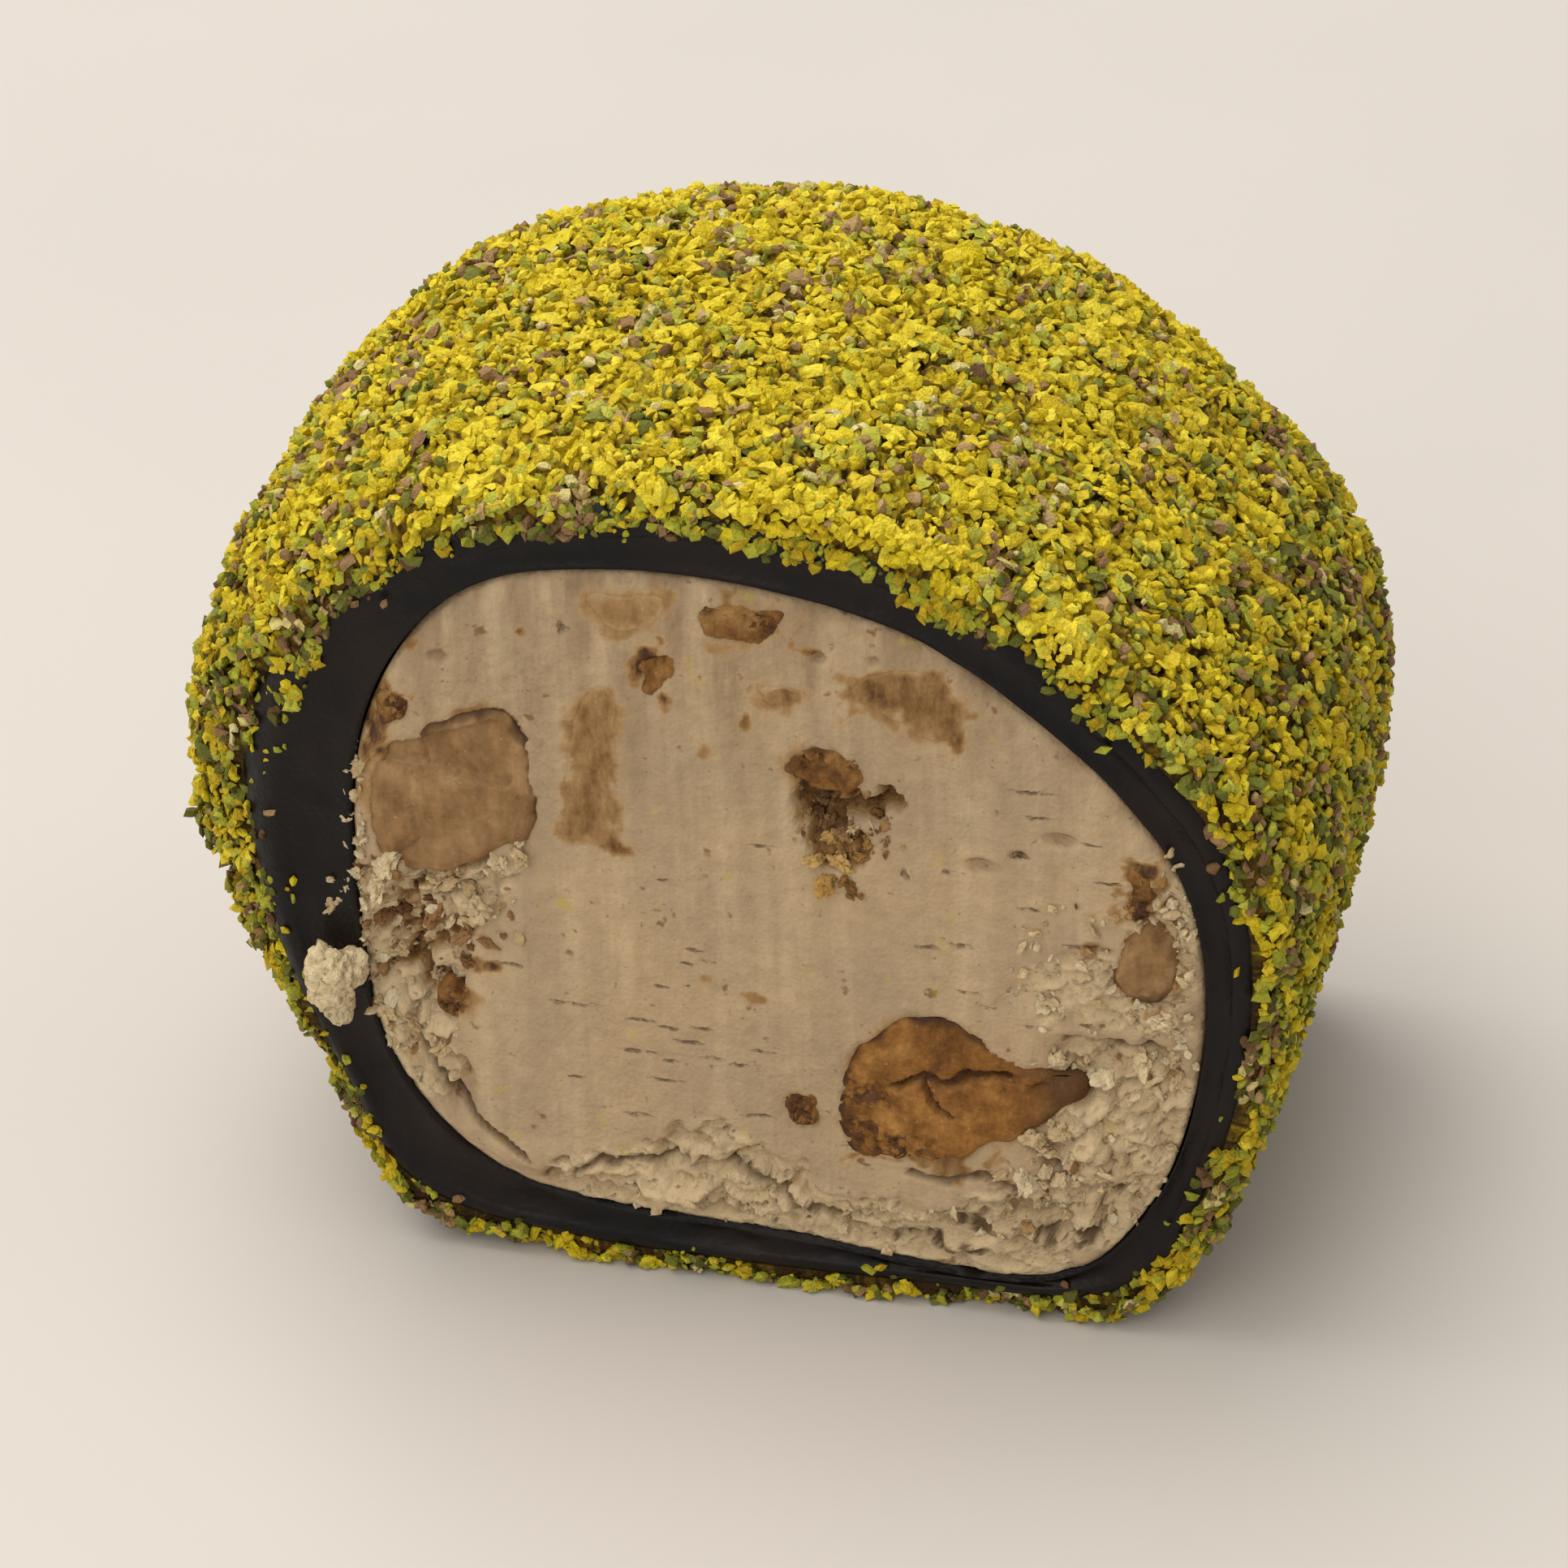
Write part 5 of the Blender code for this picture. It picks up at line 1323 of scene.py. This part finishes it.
def jitteredSites(step, dice):
    # uneven rows of places all over the roll
    length = np.linalg.norm(ring - np.roll(ring, 1, axis=0), axis=1).sum() + 8
    columns, rows = int(length / step), int((roll["back"] - roll["front"]) / step)
    column, row = (a.ravel() for a in np.meshgrid(np.arange(columns), np.arange(rows)))
    around = (column + 0.5 * (row % 2) + dice.uniform(-0.42, 0.42, len(column))) / columns
    along = (row + 0.5 + dice.uniform(-0.45, 0.45, len(row))) / rows
    return around, roll["front"] + 0.2 + along * (roll["back"] - roll["front"] - 0.4)


kinds = ("Yellow", "Gold", "Lime", "Green", "Skin", "Pale")


def kindOf(place, sides, dice):
    # the top gets the brightest crumbs and the flanks and the base darker, greener ones: painted light
    # and shade; neighbours are alike
    left, right, low, high = sides
    shift = 0.5 * softNoise(place, 4.0, 91)
    bright = 0.58 + 0.42 * high - 0.32 * right - 0.32 * left - 0.30 * low + 0.25 * shift
    bright = np.clip(bright, 0.05, 1)
    shares = np.column_stack([bright * more + (1 - bright) * less + always
                              for more, less, always in coat["shares"]])
    limits = np.cumsum(shares / shares.sum(axis=1, keepdims=True), axis=1)
    mixed = softNoise(place, 1.6, 95) + 0.5 * softNoise(place, 0.8, 96) + dice.normal(0, 0.34, len(place))
    rank = (np.argsort(np.argsort(mixed)) + 0.5) / len(place)
    kind = (rank[:, None] > limits).sum(axis=1).clip(0, len(kinds) - 1)
    tones = np.clip(0.5 + 0.35 * softNoise(place, 1.0, 97) + dice.normal(0, 0.16, len(bright))
                    + 0.3 * (bright - 0.5), 0, 1)
    return kind, tones


def buildCrumbs():
    dice = np.random.default_rng(77)
    sets = {kind: [] for kind in kinds}

    def layCrumbs(shapes, place, size, normal, sides, flatness, brightness=1.0):
        kind, tones = kindOf(place, sides, dice)
        for index, name in enumerate(kinds):
            mine = kind == index
            if mine.any():
                sets[name].append(spread(shapes, place[mine], size[mine], normal[mine],
                                         tones[mine] * brightness, flatness, dice))

    for layer, shapes in (("coarse", coarseShapes), ("medium", mediumShapes), ("fine", fineShapes)):
        spacing, sizes, chance, sparse, stray, flatness, underneath = coat[layer]
        around, y = jitteredSites(spacing, dice)
        cover, edge, thick, sides = coatState(around, y)
        size = dice.uniform(*sizes, len(y))
        place = onRoll(around, y, 0 * y)
        share = sparse * (edge > 0.02) + (1 - sparse) * smoothStep(0.1, 0.6, cover)
        keep = dice.uniform(0, 1, len(y)) < chance * share
        bottom = smoothStep(2.2, 1.4, place[:, 2])
        if not underneath:
            keep &= bottom < 0.5
        around, y, size, cover, thick, bottom, place = (
            values[keep] for values in (around, y, size, cover, thick, bottom, place))
        height = cover * (0.3 + thick * 0.66) + 0.08
        height += dice.uniform(-0.35, stray, len(y)) * (0.3 + 0.7 * cover)
        height += 0.22 * softNoise(place, 2.3, 81) * cover
        height += 0.25 * smoothStep(6.0, 2.5, place[:, 2])
        place = onRoll(around, y, height)
        size = size * (1 - 0.25 * smoothStep(4.0, 2.0, place[:, 2])) * (0.55 + 0.45 * cover)
        lowest = np.where(bottom > 0, 0.08 + size * 0.55, size * coat["resting"])
        place[:, 2] = np.maximum(place[:, 2], lowest)
        layCrumbs(shapes, place, size, rollNormal(around, y), sides[:, keep], flatness)
    for end, sign in ((roll["front"], 1), (roll["back"], -1)):
        outOfCut = np.array([0.0, -float(sign), 0.0])
        # crumbs over the steep edge of the coat
        around = dice.uniform(0, 1, coat["edgeCrumbs"])
        fromEnd = coatEdge(rimBase(around)) + dice.uniform(-0.5, 1.5, len(around))
        y = end + sign * fromEnd.clip(0.1)
        cover, _, thick, sides = coatState(around, y)
        keep = cover > 0.12
        around, y, cover, thick = around[keep], y[keep], cover[keep], thick[keep]
        size = dice.uniform(*coat["edgeSizes"], len(around))
        normal = unit(rollNormal(around, y) + 0.8 * outOfCut)
        place = onRoll(around, y, -coat["bare"] + cover * (0.83 + thick * 0.55) + 0.1) + normal * 0.12
        place[:, 1] = np.clip(place[:, 1], roll["front"] + coat["toEnd"], roll["back"] - coat["toEnd"])
        place[:, 2] = np.maximum(place[:, 2], size * coat["resting"])
        layCrumbs(mediumShapes, place, size, normal, sides[:, keep], (0.45, 0.8))
        # sparse crumbs over the rounded rims and the outer part of the cut lokum
        count = coat["rimCrumbs"]
        around = dice.uniform(0, 1, count)
        inward = dice.uniform(0, 1, count) ** 1.5 * 2.6 - 0.35
        place = onRoll(around, np.full(count, end), -inward)
        upper = smoothStep(28, 37, place[:, 2])
        ragged = 0.8 * softNoise(place, 1.2, 23) + 0.6 * softNoise(place, 3.6, 24)
        corner = smoothStep(15, 22, place[:, 0]) * smoothStep(14, 5, place[:, 2])
        reach = 1.0 * upper + 0.8 * corner - 0.2 + ragged
        near, far = coat["rimChance"]
        want = near * smoothStep(0.3, -0.3, inward - reach) + far * smoothStep(2.2, 0.4, inward)
        keep = dice.uniform(0, 1, count) < want
        around, inward, place = around[keep], inward[keep], place[keep]
        radius = wrap["rimRound"]
        over = radius - np.minimum(inward, radius).clip(0)
        back = radius - np.sqrt(np.clip(radius ** 2 - over ** 2, 0, None))
        smallest, change = coat["rimSizes"]
        size = dice.uniform(0, 1, len(around)) ** 1.5 * change + smallest
        place[:, 1] = end + sign * (back + 0.05 - 0.35 * size)
        place[:, 2] = np.maximum(place[:, 2], size * coat["resting"])
        normal = unit(rollNormal(around, place[:, 1]) + outOfCut)
        sides = np.tile(coat["rimSides"], len(around))
        layCrumbs(mediumShapes, place, size, normal, sides, (0.45, 0.9), coat["rimBright"])
    for name in kinds:
        material = crumbMaterial("pistachio" + name, coat[name])
        crumbPiece("crumbs" + name, sets[name], material, "pistachio", "coat", coat["sharpFrom"])


buildCoatBase()
buildCrumbs()


# loose filling: crumbs and the lump that was dragged over the wrap
loose = {
    # x, z, distance before the cut, half width, half height, half depth
    "lump": [(-19.75, 16.2, -1.35, 1.15, 1.75, 1.0), (-19.5, 14.9, -1.2, 0.85, 0.8, 0.8),
             (-20.1, 17.3, -1.2, 0.8, 0.7, 0.7), (-18.9, 16.6, -0.5, 0.8, 1.0, 0.9)],
    # left, right, bottom, top, count, sizes, how far they sink, share of brown ones
    "zones": (
        (-18.8, -10.4, 18.2, 23.6, 70, (0.14, 0.6), 0.15, 0.25),
        (-18.4, -13.6, 11.6, 18.6, 60, (0.14, 0.6), 0.3, 0.35),
        (-19.0, -17.9, 17.0, 31.0, 75, (0.14, 0.42), -0.2, 0.0),
        (14.6, 21.8, 6.0, 16.8, 90, (0.14, 0.55), -0.1, 0.06),
        (13.2, 21.9, 17.2, 24.8, 70, (0.12, 0.42), -0.1, 0.05),
        (-9.0, 14.0, 2.9, 6.2, 45, (0.12, 0.45), -0.1, 0.0),
        (20.8, 22.6, 15.0, 28.0, 70, (0.12, 0.45), -0.2, 0.1),
        (3.2, 8.6, 25.6, 29.4, 90, (0.12, 0.42), 0.5, 0.97),
    ),
    # single flakes, pale, brown and golden: x, z, radius
    "flakes": {
        "p": [(-14.4, 21.5, 1.33), (-16.8, 22.7, 0.75), (-11.4, 22.2, 0.87), (-10.2, 24.0, 0.55),
              (-11.2, 23.2, 0.81), (-17.4, 21.1, 0.87), (-19.2, 21.1, 0.6), (-18.4, 21.7, 0.5),
              (-19.8, 19.5, 0.6), (-17.4, 13.7, 0.58), (-15.2, 15.3, 0.58), (-16.2, 13.3, 0.69),
              (-16.8, 17.1, 0.46), (-12.4, 20.7, 0.75), (-13.4, 22.9, 0.63), (-15.2, 18.6, 0.52),
              (-14.8, 12.1, 0.58), (16.8, 14.8, 0.74), (14.8, 11.2, 0.69), (14.4, 8.5, 0.74),
              (20.0, 16.1, 0.78), (21.8, 15.4, 0.48), (21.0, 18.9, 0.7), (21.8, 17.8, 0.48),
              (16.0, 15.8, 0.48), (16.2, 11.9, 0.56), (15.2, 10.2, 0.56), (13.2, 8.7, 0.43),
              (16.2, 8.7, 0.52), (18.2, 9.5, 0.56), (14.8, 6.7, 0.48), (17.0, 7.5, 0.43),
              (20.6, 14.2, 0.52), (18.3, 14.8, 0.65), (21.6, 16.7, 0.35), (19.6, 7.0, 0.43),
              (16.4, 6.6, 0.35), (6.2, 27.5, 0.39), (21.2, 24.9, 0.48), (21.8, 24.2, 0.3),
              (21.9, 22.6, 0.3)],
        "b": [(-14.6, 19.8, 0.81), (-16.0, 16.8, 0.81), (-17.0, 18.8, 0.63), (-13.2, 18.7, 0.52),
              (-17.8, 18.7, 0.46), (-13.2, 17.1, 0.4), (14.4, 5.3, 0.56), (7.2, 27.9, 0.43),
              (4.2, 27.5, 0.52), (4.9, 28.4, 0.43), (5.4, 26.7, 0.43)],
        "g": [(5.4, 25.2, 0.70), (4.8, 24.3, 0.55), (6.3, 25.6, 0.55), (4.2, 25.4, 0.5),
              (5.9, 24.3, 0.5), (6.8, 26.4, 0.45), (4.9, 26.4, 0.5), (5.9, 26.3, 0.4),
              (20.0, 26.0, 0.5), (19.3, 24.9, 0.39)],
    },
    # name, slot and colours of each kind
    "kinds": {
        "p": ("fillingCrumbs", "cream", [(0.0, (0.54, 0.385, 0.20)), (0.5, (0.70, 0.53, 0.30)),
                                         (1.0, (0.80, 0.65, 0.41))]),
        "b": ("toastedCrumbs", "nut", [(0.0, (0.13, 0.058, 0.020)), (0.5, (0.30, 0.155, 0.058)),
                                       (1.0, (0.46, 0.28, 0.125))]),
        "g": ("goldenCrumbs", "nut", [(0.0, (0.20, 0.090, 0.020)), (0.5, (0.46, 0.255, 0.065)),
                                      (1.0, (0.64, 0.42, 0.15))]),
    },
    "lumpColours": [(0.0, (0.74, 0.60, 0.36)), (1.0, (0.84, 0.71, 0.46))],
    "voxel": 0.12,            # detail of the lump
    "sharpFrom": 50,
}


def buildLooseFilling():
    dice = np.random.default_rng(5)
    sets = {kind: [] for kind in loose["kinds"]}

    def lay(shapes, kind, x, z, size, sink, flatness, tilt):
        y = roll["front"] + frontRelief(x, z)[0] + (sink - 0.3) * size
        normals = unit(dice.normal(0, tilt, (len(x), 3)) + (0.0, -1.0, 0.0))
        sets[kind].append(spread(shapes, np.column_stack([x, y, z]), size, normals,
                                 dice.uniform(0, 1, len(x)), flatness, dice))

    for x0, x1, z0, z1, count, sizes, sink, browns in loose["zones"]:
        x, z = dice.uniform(x0, x1, count) + roll["shift"], dice.uniform(z0, z1, count)
        nuts = nutsDistance(x, z, frontLoops.values())
        keep = (insideDistance(x, z, fillingLoop) > -0.35) & (nuts < -0.05)
        x, z = x[keep], z[keep]
        size = dice.uniform(0, 1, len(x)) ** 2 * (sizes[1] - sizes[0]) + sizes[0]
        isBrown = dice.uniform(0, 1, len(x)) < browns
        for kind, mine in (("p", ~isBrown), ("b", isBrown)):
            if mine.any():
                lay(flakeShapes, kind, x[mine], z[mine], size[mine], sink, (0.3, 0.65), 0.7)
    for kind in loose["kinds"]:
        x, z, size = np.array(loose["flakes"][kind]).T
        lay(chunkShapes, kind, x + roll["shift"], z, size, 0.1, (0.4, 0.7), 0.5)
        # smaller flakes broken off beside each one
        x, z, size = (np.repeat(values, 2) for values in (x, z, size))
        x, z = x + dice.normal(0, 0.8, len(x)) * size, z + dice.normal(0, 0.8, len(z)) * size
        size = size * dice.uniform(0.35, 0.6, len(x))
        lay(bitShapes, kind, x + roll["shift"], z, size, 0.0, (0.4, 0.7), 0.7)
    for kind, (name, slot, stops) in loose["kinds"].items():
        material = crumbMaterial(name, stops, 0.75, 0.25)
        crumbPiece(name, sets[kind], material, slot, "filling", loose["sharpFrom"])
    # the lump: rounded clods welded into one knobbly body
    clods = []
    for x, z, before, halfWidth, halfHeight, halfDepth in loose["lump"]:
        place = ((x + roll["shift"]) * mm, (roll["front"] + before) * mm, z * mm)
        clods.append(addBall(4, location=place, scale=(halfWidth * mm, halfDepth * mm, halfHeight * mm)))
    selectOnly(*clods)
    bpy.ops.object.join()
    lump = bpy.context.object
    lump.name = "fillingLump"
    bpy.ops.object.transform_apply(location=True, rotation=True, scale=True)
    remesh = lump.modifiers.new("weld", "REMESH")
    remesh.mode = "VOXEL"
    remesh.voxel_size = loose["voxel"] * mm
    bpy.ops.object.modifier_apply(modifier="weld")
    points = placesOf(lump)
    level, gap, _, _ = plates(points + 0.2 * softNoise(points, 0.5, 3)[:, None], (0.6, 0.6, 0.6), 40)
    points += readVectors(lump.data, "normal") * (0.10 + 0.12 * level - 0.14 * gap
                                                  + 0.16 * roughNoise(points, 0.6, 61, 4))[:, None]
    points[:, 1] = np.maximum(points[:, 1], cadLow[1] / mm + boxInset)
    setPlaces(lump, points)
    finishPiece(lump, crumbMaterial("lumpCream", loose["lumpColours"], 0.75), "cream", "filling")


buildLooseFilling()

# floor, light and camera
studio = {
    "floorSize": 6,
    "floorColours": [(0.3, (0.60, 0.565, 0.53)), (0.7, (1.04 * 0.60, 1.04 * 0.565, 1.04 * 0.53))],
    "camera": (63.4, -248.4, 180.9),
    "target": (-0.5, 0.3, 19.5),
    "roll": -1.45,
    "lens": 139.9,
    "sensor": 36,
    "room": (1.0, 0.965, 0.92, 1),
    "roomStrength": 0.55,
    # name, place in metres, size, power and colour
    "lights": (("keyLight", (-0.34, 0.16, 0.92), 0.95, 8.6, (1.0, 0.96, 0.90)),
               ("frontLight", (-0.22, -0.90, 0.75), 0.9, 4.0, (1.0, 0.97, 0.93))),
    "lightsFace": (0, 0, 0.02),
}


def buildStudio():
    bpy.ops.object.select_all(action="DESELECT")
    bpy.ops.mesh.primitive_plane_add(size=studio["floorSize"], location=(0, 0, 0))
    floor = bpy.context.object
    floor.name = "floor"
    material, tree, shader = startMaterial("paleFloor")
    colour = addRamp(tree, noiseOn(tree, placeOn(tree), 60, 3.0), studio["floorColours"])
    tree.links.new(colour, shader.inputs["Base Color"])
    shader.inputs["Roughness"].default_value = 0.5
    floor.data.materials.append(material)
    world = bpy.data.worlds.new("softRoom")
    bpy.context.scene.world = world
    world.use_nodes = True
    background = world.node_tree.nodes["Background"]
    background.inputs["Color"].default_value = studio["room"]
    background.inputs["Strength"].default_value = studio["roomStrength"]
    for name, place, size, power, colour in studio["lights"]:
        light = bpy.data.lights.new(name, "AREA")
        light.size, light.energy, light.color = size, power, colour
        obj = bpy.data.objects.new(name, light)
        obj.location = place
        toward = Vector(studio["lightsFace"]) - Vector(place)
        obj.rotation_euler = toward.to_track_quat("-Z", "Y").to_euler()
        bpy.context.scene.collection.objects.link(obj)
    lens = bpy.data.cameras.new("camera")
    camera = bpy.data.objects.new("camera", lens)
    bpy.context.scene.collection.objects.link(camera)
    bpy.context.scene.camera = camera
    lens.lens = studio["lens"]
    lens.sensor_width = studio["sensor"]
    lens.clip_start, lens.clip_end = 0.01, 10
    place = Vector(studio["camera"]) * mm
    aim = (Vector(studio["target"]) * mm - place).to_track_quat("-Z", "Y")
    camera.location = place
    roll3 = Matrix.Rotation(math.radians(studio["roll"]), 3, "Z")
    camera.rotation_euler = (aim.to_matrix() @ roll3).to_euler()
    bpy.context.scene.view_settings.view_transform = "Standard"


buildStudio()
